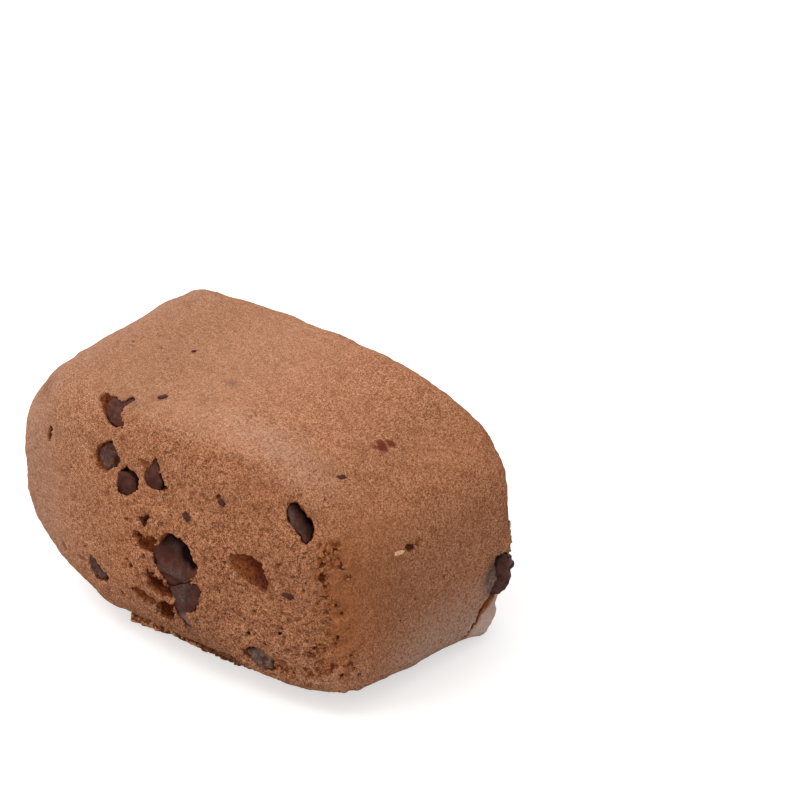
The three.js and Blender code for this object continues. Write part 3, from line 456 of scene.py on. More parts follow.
# ------------------------------------------------------------------ closed surfaces
def draw_surface(D, low, step):
    """Surface nets: one point per cell that the surface crosses, joined in quads."""
    s = D < 0
    n = np.array(D.shape)
    count = np.zeros(n - 1, np.int8)
    for i in (0, 1):
        for j in (0, 1):
            for k in (0, 1):
                count += s[i:n[0] - 1 + i, j:n[1] - 1 + j, k:n[2] - 1 + k]
    cells = np.argwhere((count > 0) & (count < 8))
    index = np.full(n - 1, -1, np.int32)
    index[tuple(cells.T)] = np.arange(len(cells))
    corner = {}
    for c in np.ndindex(2, 2, 2):
        corner[c] = D[cells[:, 0] + c[0], cells[:, 1] + c[1], cells[:, 2] + c[2]].astype(np.float64)
    total, hits = np.zeros((len(cells), 3)), np.zeros(len(cells))
    for c in np.ndindex(2, 2, 2):
        for axis in range(3):
            if c[axis]:
                continue
            e = list(c)
            e[axis] = 1
            u, v = corner[c], corner[tuple(e)]
            cut = (u < 0) != (v < 0)
            t = np.where(cut, u / np.where(cut, u - v, 1), 0)
            p = np.repeat(np.array([c], float), len(cells), 0)
            p[:, axis] += t
            total += p * cut[:, None]
            hits += cut
    points = low + step * (cells + total / hits[:, None])
    quads = []
    for axis in range(3):
        u, v = (axis + 1) % 3, (axis + 2) % 3
        lo, hi = [slice(None)] * 3, [slice(None)] * 3
        lo[axis], hi[axis] = slice(0, -1), slice(1, None)
        a, b = s[tuple(lo)], s[tuple(hi)]
        edges = np.argwhere(a != b)
        edges = edges[(edges[:, u] > 0) & (edges[:, v] > 0) & (edges[:, u] < n[u] - 1) & (edges[:, v] < n[v] - 1)]
        inside_first = a[tuple(edges.T)]

        def cell(du, dv):
            e = edges.copy()
            e[:, u] -= du
            e[:, v] -= dv
            return index[tuple(e.T)]

        q = np.stack([cell(1, 1), cell(0, 1), cell(0, 0), cell(1, 0)], 1)
        q[~inside_first] = q[~inside_first][:, ::-1]
        quads.append(q)
    return points, np.concatenate(quads)


def make_object(name, points, faces, metres=True):
    mesh = bpy.data.meshes.new(name)
    faces = np.asarray(faces, np.int32)
    co = (np.asarray(points, float) - ORIGIN) / 1000 if metres else points
    mesh.vertices.add(len(co))
    mesh.vertices.foreach_set("co", np.ascontiguousarray(co, np.float32).ravel())
    mesh.loops.add(faces.size)
    mesh.loops.foreach_set("vertex_index", faces.ravel())
    mesh.polygons.add(len(faces))
    k = faces.shape[1]
    mesh.polygons.foreach_set("loop_start", np.arange(len(faces), dtype=np.int32) * k)
    mesh.polygons.foreach_set("loop_total", np.full(len(faces), k, np.int32))
    mesh.update(calc_edges=True)
    mesh.validate()
    mesh.polygons.foreach_set("use_smooth", np.ones(len(mesh.polygons), bool))
    obj = bpy.data.objects.new(name, mesh)
    scene.collection.objects.link(obj)
    return obj


def points_of(obj):
    co = np.empty(len(obj.data.vertices) * 3, np.float32)
    obj.data.vertices.foreach_get("co", co)
    return co.reshape(-1, 3).astype(float) * 1000 + ORIGIN


def set_points(obj, P):
    obj.data.vertices.foreach_set("co", np.ascontiguousarray((P - ORIGIN) / 1000, np.float32).ravel())
    obj.data.update()


def give(obj, name, values):
    attribute = obj.data.attributes.new(name, "FLOAT", "POINT")
    attribute.data.foreach_set("value", np.ascontiguousarray(values, np.float32))


def sunk_at(P):
    """1 where the skin is gone, 0 where it is whole."""
    best = np.zeros(len(P))
    close = np.flatnonzero((P[:, 0] > 15.5) & (P[:, 1] < -9))
    for x, y, z, r in CRUMBLY:
        d = np.linalg.norm(P[close] - np.array([x, y, z], P.dtype), axis=1)
        best[close] = np.maximum(best[close], ramp(r * 1.25 - d, 0, 0.45))
    return best


# ------------------------------------------------------------------ the dough's grid
LOW = np.array([-29.8, -19.8, -0.9])
HIGH = np.array([32.4, 19.4, 35.3])
SHAPE = np.ceil((HIGH - LOW) / STEP).astype(int) + 1
GX, GY, GZ = [(LOW[k] + STEP * np.arange(SHAPE[k])).astype(np.float32) for k in range(3)]
B, SKIN = base(GX[:, None, None], GY[None, :, None], GZ[None, None, :], parts=True)
B, SKIN = B.astype(np.float32), SKIN.astype(np.float32)
D = B.copy()


def block(at, reach):
    lo = np.maximum(np.floor((np.asarray(at) - reach - LOW) / STEP).astype(int), 0)
    hi = np.minimum(np.ceil((np.asarray(at) + reach - LOW) / STEP).astype(int) + 1, SHAPE)
    where = tuple(slice(a, b) for a, b in zip(lo, hi))
    P = np.stack(np.meshgrid(GX[where[0]], GY[where[1]], GZ[where[2]], indexing="ij"), -1)
    return where, P


def local(P, f):
    w = P - f["at"]
    return w @ f["a"], w @ f["b"], w @ f["n"]


def front_weight(x, y, z, skin):
    """How porous the skin is: 1 in the middle of the front and back, 0 on the baked sides."""
    low = np.where(y < 0, 1.9 - 2.2 * ramp(x, -12, -4) * (1 - ramp(x, 18, 23)), 1.0)
    return ramp(-skin, low, low + 1.05)


# relief over the whole skin
near = np.flatnonzero(np.abs(B.ravel()) < 1.3)
i, j, k = np.unravel_index(near, B.shape)
NP = np.stack([GX[i], GY[j], GZ[k]], 1)
nb, ns = B.ravel()[near], SKIN.ravel()[near]
face = front_weight(NP[:, 0], NP[:, 1], NP[:, 2], ns)
dense = np.where(NP[:, 1] < 0, 0.35 + 0.65 * ramp(NP[:, 0], -13, 3), 0.8)
low_down = 1 - ramp(NP[:, 2], 6, 12)
under = 1 - ramp(NP[:, 2], 0.2, 1.5)
swell = 0.11 * noise(NP, 11.0, 1) + 0.05 * noise(NP, 4.5, 2)
rough_edge = np.exp(-((NP[:, 0] - 24.5) / 2.2) ** 2 - ((NP[:, 1] + 12.0) / 2.4) ** 2) * (1 - ramp(NP[:, 2], 23, 26))
crumbly = np.clip(rough_edge * (0.55 + 0.9 * (1 - ramp(NP[:, 2], 5, 11))), 0, 1)
mid = 0.020 + 0.020 * face * dense + 0.13 * crumbly
swell += mid * noise(NP, 1.7, 4)
pore_noise = noise(NP, 0.95, 3) + 0.45 * noise(NP, 2.6, 6)
flat_noise = noise(NP, 0.95, 7, (1.9, 1.9, 1.0)) + 0.4 * noise(NP, 2.6, 8)
pores = np.maximum(pore_noise * (1 - low_down) + flat_noise * low_down - 0.75, 0)
quiet = 0.90 - 0.42 * ramp(NP[:, 2], 19, 26)
pores = np.minimum(0.22 * pores, 0.4) * face * dense * quiet
pores += (0.30 * np.maximum(noise(NP, 1.1, 9) - 0.8, 0) - 0.10 * noise(NP, 0.85, 11)) * crumbly
grain = (0.012 + 0.034 * face * dense * quiet) * noise(NP, 0.66, 5)
undercut = np.exp(-((NP[:, 2] - 2.1) / 1.5) ** 2) * ramp(NP[:, 0], -11.5, -8) * (1 - ramp(NP[:, 0], 7, 11)) * ramp(-NP[:, 1], 8, 11)
relief = (swell + grain) * (1 - 0.75 * under) - pores * (1 - under) - 0.72 * sunk_at(NP) - 0.20 * undercut
D.ravel()[near] = nb - relief

for at, reach, much in NUDGES:
    where, P = block(at, 2.2 * max(reach))
    D[where] -= (much * np.exp(-(((P - np.array(at)) / np.array(reach)) ** 2).sum(-1))).astype(np.float32)

# the foot pressed out along the lower front edge, and the underside above it
where, P = block((-1.0, -12.8, 0.6), 13.5)
flat = P.reshape(-1, 3)
lumpy = (0.22 * noise(flat, 1.7, 10) + 0.15 * noise(flat, 0.8, 12)).reshape(P.shape[:3]) * (0.50 + 0.50 * ramp(P[..., 2], 0.2, 0.8))
raised = P[..., 1] * 0.3922 + P[..., 2] * 0.8676
under_at = np.interp(P[..., 0], [u[0] for u in UNDERSIDE], [u[1] for u in UNDERSIDE]) + 0.7 * lumpy
D[where] = np.where(P[..., 1] < -9.0, rounded_max(D[where], under_at - raised, 0.35), D[where])
foot = rope_distance(P, FOOT) + lumpy
foot = np.maximum(foot, -(P[..., 2] - 0.02))
D[where] = soft_min(D[where], foot.astype(np.float32), 0.12)
# and the crease above it
crease = rope_distance(P, [(x, y - 0.45, z + r + 0.12, 0.30) for x, y, z, r in FOOT[:6]]) + 0.5 * lumpy
D[where] = np.maximum(D[where], -crease)

# the set-back corner at the lower right of the back, and the tear above it
corner = dict(at=np.array([29.9, 14.6, 2.4]))
corner["n"], corner["a"], corner["b"] = axes((0.96, 0.12, -0.28))
where, P = block(corner["at"], 11.0)
flat = P.reshape(-1, 3)
along = np.array([0.0, 0.80, 0.60])
along = along - corner["n"] * (along @ corner["n"])
along /= np.linalg.norm(along)
across = np.cross(along, corner["n"])
w = P - corner["at"]
u, v, h = w @ along / 8.0, w @ across / 3.5, (w @ corner["n"] - 0.1) / 1.5
k = (np.abs(u) ** 4 + np.abs(v / (1 + 0.25 * u)) ** 4 + np.abs(h) ** 4) ** (1 / 4)
scoop = (k - 1) * 1.5 + 0.05 * noise(flat, 2.0, 13).reshape(k.shape)
D[where] = np.maximum(D[where], -scoop)
under_chip = np.array([31.0, 12.3, 5.2])
n2, a2, b2 = axes((0.985, 0.16, -0.05))
w = P - under_chip
u, v, h = w @ np.array([0.0, 0.82, 0.57]) / 3.2, w @ np.array([0.0, 0.57, -0.82]) / 2.0, w @ n2 / 1.65
D[where] = np.maximum(D[where], -((np.abs(u) ** 3 + np.abs(v) ** 3 + np.abs(h) ** 3) ** (1 / 3) - 1) * 1.6)
tear = rope_distance(P, TEAR) + (0.14 * noise(flat, 1.0, 14) + 0.07 * noise(flat, 0.6, 15)).reshape(k.shape)
D[where] = np.maximum(D[where], -tear)

# the last shape of that corner
for at, reach, much in [((29.2, 14.05, 3.7), (2.2, 1.7, 1.2), -0.60), ((29.1, 14.35, 3.2), (2.0, 0.9, 1.0), -0.50),
                        ((29.2, 11.4, 1.9), (2.2, 2.2, 1.3), 0.42), ((28.6, 7.0, 1.5), (2.0, 2.2, 1.2), 0.15)]:
    where, P = block(at, 2.2 * max(reach))
    D[where] -= (much * np.exp(-(((P - np.array(at)) / np.array(reach)) ** 2).sum(-1))).astype(np.float32)
where, P = block(corner["at"], 11.0)
slit = rope_distance(P, SLIT) + 0.05 * noise(P.reshape(-1, 3), 0.8, 14).reshape(P.shape[:3])
D[where] = np.maximum(D[where], -slit)

# pockets round the chips, and the chips' own room under the skin
for chip in CHIPS.values():
    where, P = block(chip["at"], chip["reach"])
    flat = P.reshape(-1, 3)
    a, b, h = local(P, chip)
    s = -B[where]
    ragged = (0.085 * noise(flat, 0.75, 16) + 0.065 * noise(flat, 1.6, 17)).reshape(a.shape)
    opening = edge_distance(a, b, soften(chip["pocket"], 1)) + ragged
    cut = np.maximum(opening + chip["slant"] * np.clip(s - 0.2, 0, 3), s - chip["wall"] - 2 * ragged)
    room = chip_distance(chip, a, b, s, flat, fine=False) - 0.03
    cut = np.where(np.abs(h) < 6.0, np.minimum(cut, room), 9.0)
    D[where] = np.maximum(D[where], -cut)

for hollow in HOLLOWS.values():
    where, P = block(hollow["at"], hollow["reach"])
    flat = P.reshape(-1, 3)
    a, b, h = local(P, hollow)
    s = -B[where]
    ragged = (0.10 * noise(flat, 0.75, 16) + 0.08 * noise(flat, 1.6, 17)).reshape(a.shape)
    opening = edge_distance(a, b, hollow["soft_edge"]) + ragged
    floor = None
    for depth, ka, kb in hollow["floor"]:
        plane = depth + ka * a + kb * b
        floor = plane if floor is None else np.minimum(floor, plane)
    floor = floor + hollow["rough"] * noise(flat, 0.95, 18).reshape(a.shape) + 0.4 * hollow["rough"] * noise(flat, 0.6, 19).reshape(a.shape)
    cut = np.maximum(opening + hollow["slant"] * np.clip(s - 0.15, 0, 3), s - floor)
    cut = np.where(np.abs(h) < 6.0, cut, 9.0)
    D[where] = np.maximum(D[where], -cut)


def onto_skin(P):
    for _ in range(6):
        P = P - slope_at(P) * base_at(P)[:, None]
    return P


def lump(at, radius, seed, spin):
    """One crumb that belongs to the dough."""
    where, P = block(at, radius + 0.35)
    w = (P - at) @ spin / (radius * np.array([1.15, 0.95, 0.85]))
    d = (np.sqrt((w ** 2).sum(-1)) - 1) * radius * 0.9
    d += 0.07 * radius / 0.35 * noise(P.reshape(-1, 3), 0.6, seed).reshape(d.shape)
    D[where] = soft_min(D[where], d.astype(np.float32), 0.03)


def pit(at, radius, depth, seed, flat=1.0):
    """One small uneven pit in the skin."""
    at = np.asarray(at, float)
    where, P = block(at, max(radius, depth) + 0.5)
    s = -B[where]
    w = P - at
    side = np.sqrt(np.maximum((w ** 2).sum(-1) - s ** 2, 0))
    side = np.sqrt(np.maximum(side ** 2 + (1 / flat ** 2 - 1) * w[..., 2] ** 2, 0))
    k = np.sqrt((side / radius) ** 2 + (np.maximum(s, -0.3) / depth) ** 2)
    flat = P.reshape(-1, 3)
    uneven = (0.30 * noise(flat, 0.9, seed) + 0.16 * noise(flat, 0.55, seed + 3)).reshape(k.shape)
    d = (k - 1 + uneven) * min(radius, depth)
    D[where] = np.maximum(D[where], -d)


for n, (x, y, z, wide, high) in enumerate(GAPS):
    r = max(0.26, 1.1 * (wide * high) ** 0.5)
    pit((x, y, z), r, 2.2 * r, 24 + n % 3)

# pores too large for noise: scattered over the front and back, a few on the skin
rng = np.random.default_rng(77)


heap = np.random.default_rng(91)


def any_turn():
    return np.linalg.qr(heap.standard_normal((3, 3)))[0]


for x, y, z, r in CRUMBLY:
    count = int(2 + 6 * (r / 0.77) ** 2)
    on = onto_skin(np.array([x, y, z]) + heap.normal(0, 0.55 * r, (count, 3)))
    for P, out in zip(on, slope_at(on)):
        size = heap.uniform(0.28, 0.48)
        lump(P - out * (size - heap.uniform(-0.25, 0.18)), size, 34 + int(heap.integers(4)), any_turn())
for name in ("torn_a", "torn_b", "torn_c", "torn_d"):
    hollow = HOLLOWS[name]
    reach = np.abs(np.array(hollow["edge"])).max(0)
    uv = heap.uniform(-1, 1, (60, 2)) * reach
    uv = uv[edge_distance(uv[:, 0], uv[:, 1], hollow["soft_edge"]) < -0.1][:{"torn_a": 11, "torn_b": 5, "torn_c": 12, "torn_d": 5}[name]]
    for u, v in uv:
        deep = hollow["floor"][0][0] + hollow["floor"][0][1] * u + hollow["floor"][0][2] * v
        size = heap.uniform(0.25, 0.50)
        P = hollow["at"] + hollow["a"] * u + hollow["b"] * v
        P = onto_skin(P[None])[0] - hollow["n"] * (max(deep, 0.3) + 0.35 * size)
        lump(P, size, 34 + int(heap.integers(4)), any_turn())
for (x0, y0, z0, r0), (x1, y1, z1, r1) in zip(FOOT, FOOT[1:]):
    for _ in range(int(9.0 * (x1 - x0))):
        t = heap.random()
        r = r0 + (r1 - r0) * t
        size = heap.uniform(0.22, 0.42)
        turn = heap.uniform(0.15, 1.1)
        reach = r - size + heap.uniform(0.05, 0.26)
        P = np.array([x0 + (x1 - x0) * t, y0 + (y1 - y0) * t - reach * math.cos(turn), max(z0 + (z1 - z0) * t + reach * math.sin(turn), size)])
        lump(P, size, 34 + int(heap.integers(4)), any_turn())


def scatter(count, side):
    P = np.stack([rng.uniform(-27, 28, count), np.full(count, side * 20.0), rng.uniform(1.5, 32, count)], 1)
    P[:, 1] = side * rng.uniform(15.0, 19.5, count)
    P = onto_skin(P)
    skin = base(P[:, 0], P[:, 1], P[:, 2], parts=True)[1]
    weight = front_weight(P[:, 0], P[:, 1], P[:, 2], skin)
    if side < 0:
        weight = weight * (0.30 + 0.70 * ramp(P[:, 0], -12, 3))
    return P[rng.random(count) < weight]


for side, count in ((-1, 300), (1, 300)):
    for P in scatter(count, side):
        r = 0.16 + 0.22 * rng.random() ** 4
        r *= 1 - 0.3 * float(ramp(P[2], 19, 26))
        pit(P, r, r * rng.uniform(1.0, 1.7), 26 + int(rng.integers(4)), flat=0.7 if P[2] < 9 else 1.0)
for P in onto_skin(np.stack([rng.uniform(-28, 30, 40), rng.uniform(-16, 16, 40), rng.uniform(2, 33, 40)], 1)):
    pit(P, 0.14 + 0.1 * rng.random(), 0.25, 30)

points, quads = draw_surface(D, LOW, STEP)
points[:, 2] = np.maximum(points[:, 2], 0.0)


# keep only the largest closed piece
def largest(points, quads):
    label = np.arange(len(points))
    edges = np.concatenate([quads[:, [0, 1]], quads[:, [1, 2]], quads[:, [2, 3]], quads[:, [3, 0]]])
    while True:
        low = np.minimum(label[edges[:, 0]], label[edges[:, 1]])
        new = label.copy()
        np.minimum.at(new, edges[:, 0], low)
        np.minimum.at(new, edges[:, 1], low)
        new = new[new]
        if (new == label).all():
            break
        label = new
    main = np.bincount(label).argmax()
    keep = label == main
    renumber = np.cumsum(keep) - 1
    return points[keep], renumber[quads[keep[quads[:, 0]]]]


points, quads = largest(points, quads)
full = make_object("dough_full", points, quads)
reduce_faces = full.modifiers.new("reduce", "DECIMATE")
reduce_faces.ratio = MOST_FACES / (2 * len(quads))
reduce_faces.use_collapse_triangulate = True
bpy.context.view_layer.update()
mesh = bpy.data.meshes.new_from_object(full.evaluated_get(bpy.context.evaluated_depsgraph_get()))
bpy.data.objects.remove(full)
mesh.name = "dough"
mesh.polygons.foreach_set("use_smooth", np.ones(len(mesh.polygons), bool))
dough = bpy.data.objects.new("dough", mesh)
scene.collection.objects.link(dough)

# ------------------------------------------------------------------ what the dough's colour needs
V = points_of(dough)
depth = 0.11 * noise(V, 11.0, 1) + 0.05 * noise(V, 4.5, 2) - base_at(V)
skin = base(V[:, 0], V[:, 1], V[:, 2], parts=True)[1]
porous = front_weight(V[:, 0], V[:, 1], V[:, 2], skin)
torn, stain_and_shade = np.zeros(len(V)), np.zeros(len(V))
for f in list(CHIPS.values()) + list(HOLLOWS.values()):
    close = np.flatnonzero(np.linalg.norm(V - f["at"], axis=1) < f["reach"] + 1)
    a, b, h = local(V[close], f)
    d = edge_distance(a, b, np.array(f.get("pocket", f.get("edge"))))
    inside = ramp(-d, -0.25, 0.1) * ramp(depth[close], 0.12, 0.45)
    torn[close] = np.maximum(torn[close], inside * f.get("torn", 0.92))
    stain_and_shade[close] = np.maximum(stain_and_shade[close], inside * f.get("stain_and_shade", 0.10))
torn = np.maximum(torn, 0.42 * sunk_at(V))
raised = V[:, 1] * 0.3922 + V[:, 2] * 0.8676 - np.interp(V[:, 0], [u[0] for u in UNDERSIDE], [u[1] for u in UNDERSIDE])
on_foot = (V[:, 1] < -9) * (V[:, 2] < 2.4) * ramp(V[:, 0], -10.5, -9.5) * (1 - ramp(V[:, 0], 8, 10.5))
torn = np.maximum(torn, 0.45 * on_foot * ramp(-raised, -0.1, 0.2))
# painted shade in the crease under the overhanging bar, just above the foot
crease_shade = on_foot * np.exp(-((raised + 0.26) / 0.26) ** 2)
torn = np.maximum(torn, 1.0 * np.exp(-(np.maximum(rope_distance(V, TEAR), 0) / 0.6) ** 2) * ramp(depth, 0.0, 0.2))
edge_zone = np.exp(-((V[:, 0] - 24.3) / 1.9) ** 2 - ((V[:, 1] + 12.2) / 2.0) ** 2) * (1 - ramp(V[:, 2], 23.5, 26))
edge_zone += 0.65 * np.exp(-((V[:, 0] - 26.0) / 3.0) ** 2 - ((V[:, 1] + 9.0) / 5.5) ** 2 - ((V[:, 2] - 18.0) / 9.0) ** 2)
edge_zone += 0.45 * np.exp(-((V[:, 0] - 13.0) / 8.0) ** 2 - ((V[:, 1] + 13.9) / 1.8) ** 2 - ((V[:, 2] - 29.4) / 2.5) ** 2)
give(dough, "depth", np.clip(depth, -1, 3))
give(dough, "porous", porous * np.where(V[:, 1] < 0, 0.15 + 0.85 * ramp(V[:, 0], -12, 2), 0.9) * (1 - 0.45 * ramp(V[:, 2], 20, 27)))
give(dough, "torn", torn)
# painted shadow along the slit; with the crease's painted shade it goes into the same darkening as the stains
stain_and_shade = np.maximum(stain_and_shade, 0.65 * np.exp(-(np.maximum(rope_distance(V, SLIT), 0) / 0.12) ** 2) * ramp(depth, 0.15, 0.5))
give(dough, "stain_and_shade", np.maximum(stain_and_shade, 0.9 * crease_shade))
give(dough, "lip", on_foot * ramp(-raised, 0.1, 0.4))
give(dough, "warm", np.clip(edge_zone * (0.15 + 0.85 * ramp(V[:, 2], 5, 11)), 0, 1))
# the top and the left-hand end paler and less orange: partly the baked crust, partly painted sheen
give(dough, "crust_and_sheen", np.maximum(ramp(slope_at(V)[:, 2], 0.76, 0.97) * (1 - 0.8 * ramp(V[:, 0], -2, 18)), 0.8 * ramp(-V[:, 0], 12, 20)))
# chocolate rubbed into the skin; then a painted sheen, paler low on the right-hand end, at the low front corner and the
# left-hand end, with a painted highlight along the upper front edge
rub = 2.1 * np.exp(-(np.linalg.norm((V - np.array([30.0, 10.45, 10.0])) / np.array([2, 1.2, 2.7]), axis=1)) ** 2)
rub += 0.55 * np.exp(-(np.linalg.norm((V - np.array([4.9, -17.9, 7.3])) / np.array([0.9, 1.5, 1.1]), axis=1)) ** 2)
rub += 0.4 * np.exp(-(np.linalg.norm((V - np.array([2.0, -17.9, 25.2])) / np.array([0.6, 1.5, 0.6]), axis=1)) ** 2)
rub += 0.45 * np.exp(-(np.linalg.norm((V - np.array([-0.06, -3.28, 33.43])) / np.array([1.1, 0.5, 1]), axis=1)) ** 2)
rub += 0.35 * np.exp(-(np.linalg.norm((V - np.array([-6.6, -13.2, 32.7])) / np.array([0.9, 0.5, 0.7]), axis=1)) ** 2)
give(dough, "rub", np.clip(rub, 0, 1))
sheen = ramp(V[:, 0], 21, 27) * (1 - ramp(V[:, 2], 3.5, 14)) * ramp(V[:, 1], -11, 0)
flap = ramp(V[:, 1], 5.5, 7.5) * (1 - ramp(V[:, 2] - 0.75 * (V[:, 1] - 8.3), 5.0, 5.8)) * ramp(V[:, 0], 24, 27)
low_corner = 0.4 * np.exp(-((V - np.array([24.6, -12.4, 4.5])) ** 2).sum(1) / 3.0 ** 2)
# painted highlight along the upper front edge
top_edge_highlight = 0.42 * np.exp(-((V[:, 0] - 13) / 9) ** 2 - ((V[:, 1] + 9) / 3.2) ** 2) * ramp(V[:, 2], 27, 30)
give(dough, "pale", np.clip(np.maximum(np.maximum(sheen, top_edge_highlight), np.maximum(low_corner, 0.3 * ramp(-V[:, 0], 15, 23))), 0, 1) * (1 - torn))
give(dough, "flap", np.clip(flap, 0, 1) * (1 - ramp(V[:, 1], 14.0, 15.8)) * (1 - torn) * ramp(rope_distance(V, TEAR), 0.0, 0.3))
# painted sheen: a cooler, greyer tint on the top, the left-hand end, the low parts and the right-hand end, where the
# skin would reflect the white surroundings
sheen_tint = np.maximum(ramp(slope_at(V)[:, 2], 0.78, 0.97) * (1 - 0.7 * ramp(V[:, 0], -6, 22)), ramp(-V[:, 0], 3, 17))
sheen_tint = np.maximum(sheen_tint, 0.85 * (1 - ramp(V[:, 2], 5, 13)) * (1 - np.clip(edge_zone, 0, 1)))
sheen_tint = np.maximum(sheen_tint, 0.75 * ramp(V[:, 0], 26.5, 28.5) * (1 - 0.8 * ramp(V[:, 2], 16, 22)))
give(dough, "sheen_tint", sheen_tint * (1 - torn))
# painted light and shade: the top middle is lightened and the right-hand end, the top left, the upper front, the low
# front and a few spots are darkened, as the light falls on them
painted_shading = 1 - 0.05 * ramp(V[:, 0], 22, 27) * (1 - ramp(V[:, 2], 19, 28)) - 0.06 * ramp(-V[:, 0], 17, 25)
painted_shading += 0.10 * np.exp(-((V[:, 0] - 5) / 12) ** 2 - ((V[:, 1] + 9) / 6) ** 2) * ramp(V[:, 2], 27, 31)
painted_shading -= 0.05 * ramp(V[:, 0], 15, 20) * ramp(V[:, 2], 24, 28)
painted_shading -= 0.09 * ramp(-V[:, 0], 2, 12) * ramp(V[:, 2], 25, 30)
upper_front = ramp(V[:, 2], 25.5, 28) * (1 - ramp(slope_at(V)[:, 2], 0.84, 0.95)) * (1 - ramp(V[:, 1], -12.5, -10.5)) * ramp(V[:, 0], -12, -2)
painted_shading -= 0.12 * upper_front + 0.08 * (1 - ramp(V[:, 2], 5, 11)) * (1 - ramp(V[:, 1], -14, -11)) * (1 - ramp(V[:, 0], 8, 14))
for x, y, z, r, much in [(-4.5, -8.5, 33.3, 8.0, -0.08), (27.6, -5.2, 14.5, 5.0, -0.08), (25.0, -11.2, 22.4, 3.5, -0.07), (24.4, -12.6, 6.5, 3.5, 0.12), (2.5, -18.0, 22.5, 5.5, 0.08), (6.7, -17.8, 9.0, 3.0, -0.09)]:
    painted_shading += much * np.exp(-((V - np.array([x, y, z])) ** 2).sum(1) / r ** 2)
give(dough, "painted_shading", painted_shading)

# a map for the surface's pictures: six flat charts, by the way the smooth bar faces
N = slope_at(V)
loops = np.empty(len(mesh.loops), np.int32)
mesh.loops.foreach_get("vertex_index", loops)
tri = loops.reshape(-1, 3)
mean = N[tri].mean(1)
axis = np.abs(mean).argmax(1)
sign = np.take_along_axis(mean, axis[:, None], 1)[:, 0] > 0
chart = axis * 2 + sign
uv = np.zeros((len(tri), 3, 2))
scale = 1 / 130.0
place = {2: (1, 1), 3: (1, 38), 5: (1, 75), 4: (66, 75), 0: (66, 1), 1: (66, 38)}
for c in range(6):
    a, b = [(1, 2), (0, 2), (0, 1)][c // 2]
    pick = chart == c
    if not pick.any():
        continue
    p = V[tri[pick]][..., [a, b]]
    low = p.reshape(-1, 2).min(0)
    uv[pick] = (p - low + np.array(place[c])) * scale
layer = mesh.uv_layers.new(name="OFBake")
layer.data.foreach_set("uv", np.ascontiguousarray(np.clip(uv, 0, 1), np.float32).ravel())

# ------------------------------------------------------------------ chips as pieces
pieces = {}
for name, chip in CHIPS.items():
    reach = float(np.abs(chip["soft_edge"]).max() + 0.9)
    n_up, n_down = 1.6, chip["deep"] + 0.6
    corners = np.array([chip["at"] + chip["a"] * u + chip["b"] * v + chip["n"] * w
                        for u in (-reach, reach) for v in (-reach, reach) for w in (-n_down, n_up)])
    lo, hi = corners.min(0), corners.max(0)
    g = [np.arange(lo[k], hi[k], CHIP_STEP) for k in range(3)]
    P = np.stack(np.meshgrid(*g, indexing="ij"), -1)
    flat = P.reshape(-1, 3)
    a, b, h = local(P, chip)
    s = -base(P[..., 0], P[..., 1], P[..., 2])
    d = chip_distance(chip, a, b, s, flat)
    d = np.maximum(d, np.abs(h + (n_down - n_up) / 2) - (n_up + n_down) / 2 + 0.15)
    if name == "chunk_lower":
        up = CHIPS["chunk_upper"]
        ua, ub, uh = local(P, up)
        d = np.maximum(d, 0.05 - chip_distance(up, ua, ub, s, flat))
    pts, qs = draw_surface(d, lo, CHIP_STEP)
    pts, qs = largest(pts, qs)
    obj = make_object(name + "_chocolate", pts, qs)
    rgn = noise(pts, 1.4, 31)
    depth_here = -base_at(pts)
    # grey on the chips: partly bloom, partly painted sheen and highlight
    bloom_and_sheen = np.clip(chip["bloom_and_sheen"] * (1 + 0.5 * rgn), 0, 1)
    ca, cb, _ = local(pts, chip)
    for u, v, ru, rv, much in BLOOM_AND_HIGHLIGHTS.get(name, []):
        bloom_and_sheen = np.maximum(bloom_and_sheen, much * np.exp(-((ca - u) / ru) ** 2 - ((cb - v) / rv) ** 2) * (1 + 0.2 * rgn))
    give(obj, "bloom_and_sheen", bloom_and_sheen)
    # painted shade: the chips darken the deeper they lie under the skin, and at the places painted as shade
    shade = ramp(depth_here, 0.9, 2.6)
    for u, v, ru, rv, much in SHADES.get(name, []):
        shade = np.maximum(shade, much * np.exp(-((ca - u) / ru) ** 2 - ((cb - v) / rv) ** 2))
    give(obj, "deep", np.minimum(shade, 1))
    ruddy = np.zeros(len(pts))
    for u, v, ru, rv, much in REDS.get(name, []):
        ruddy = np.maximum(ruddy, much * np.exp(-((ca - u) / ru) ** 2 - ((cb - v) / rv) ** 2))
    give(obj, "ruddy", ruddy)
    give(obj, "crumbed", np.full(len(pts), {"chip_base": 1.0, "chip_low_left": 0.15, "chip_domed": 0.4, "chip_ridge": 0.15}.get(name, 0.06)))
    frost = np.zeros(len(pts))
    if name == "chunk_lower":
        frost = np.minimum(1.25 * np.exp(-((ca + 0.4) / 0.9) ** 2 - ((cb + 3.5) / 1.1) ** 2), 1)
    give(obj, "frost", frost)
    give(obj, "gloss", np.full(len(pts), chip.get("gloss", 0.0)))
    pieces[name] = obj

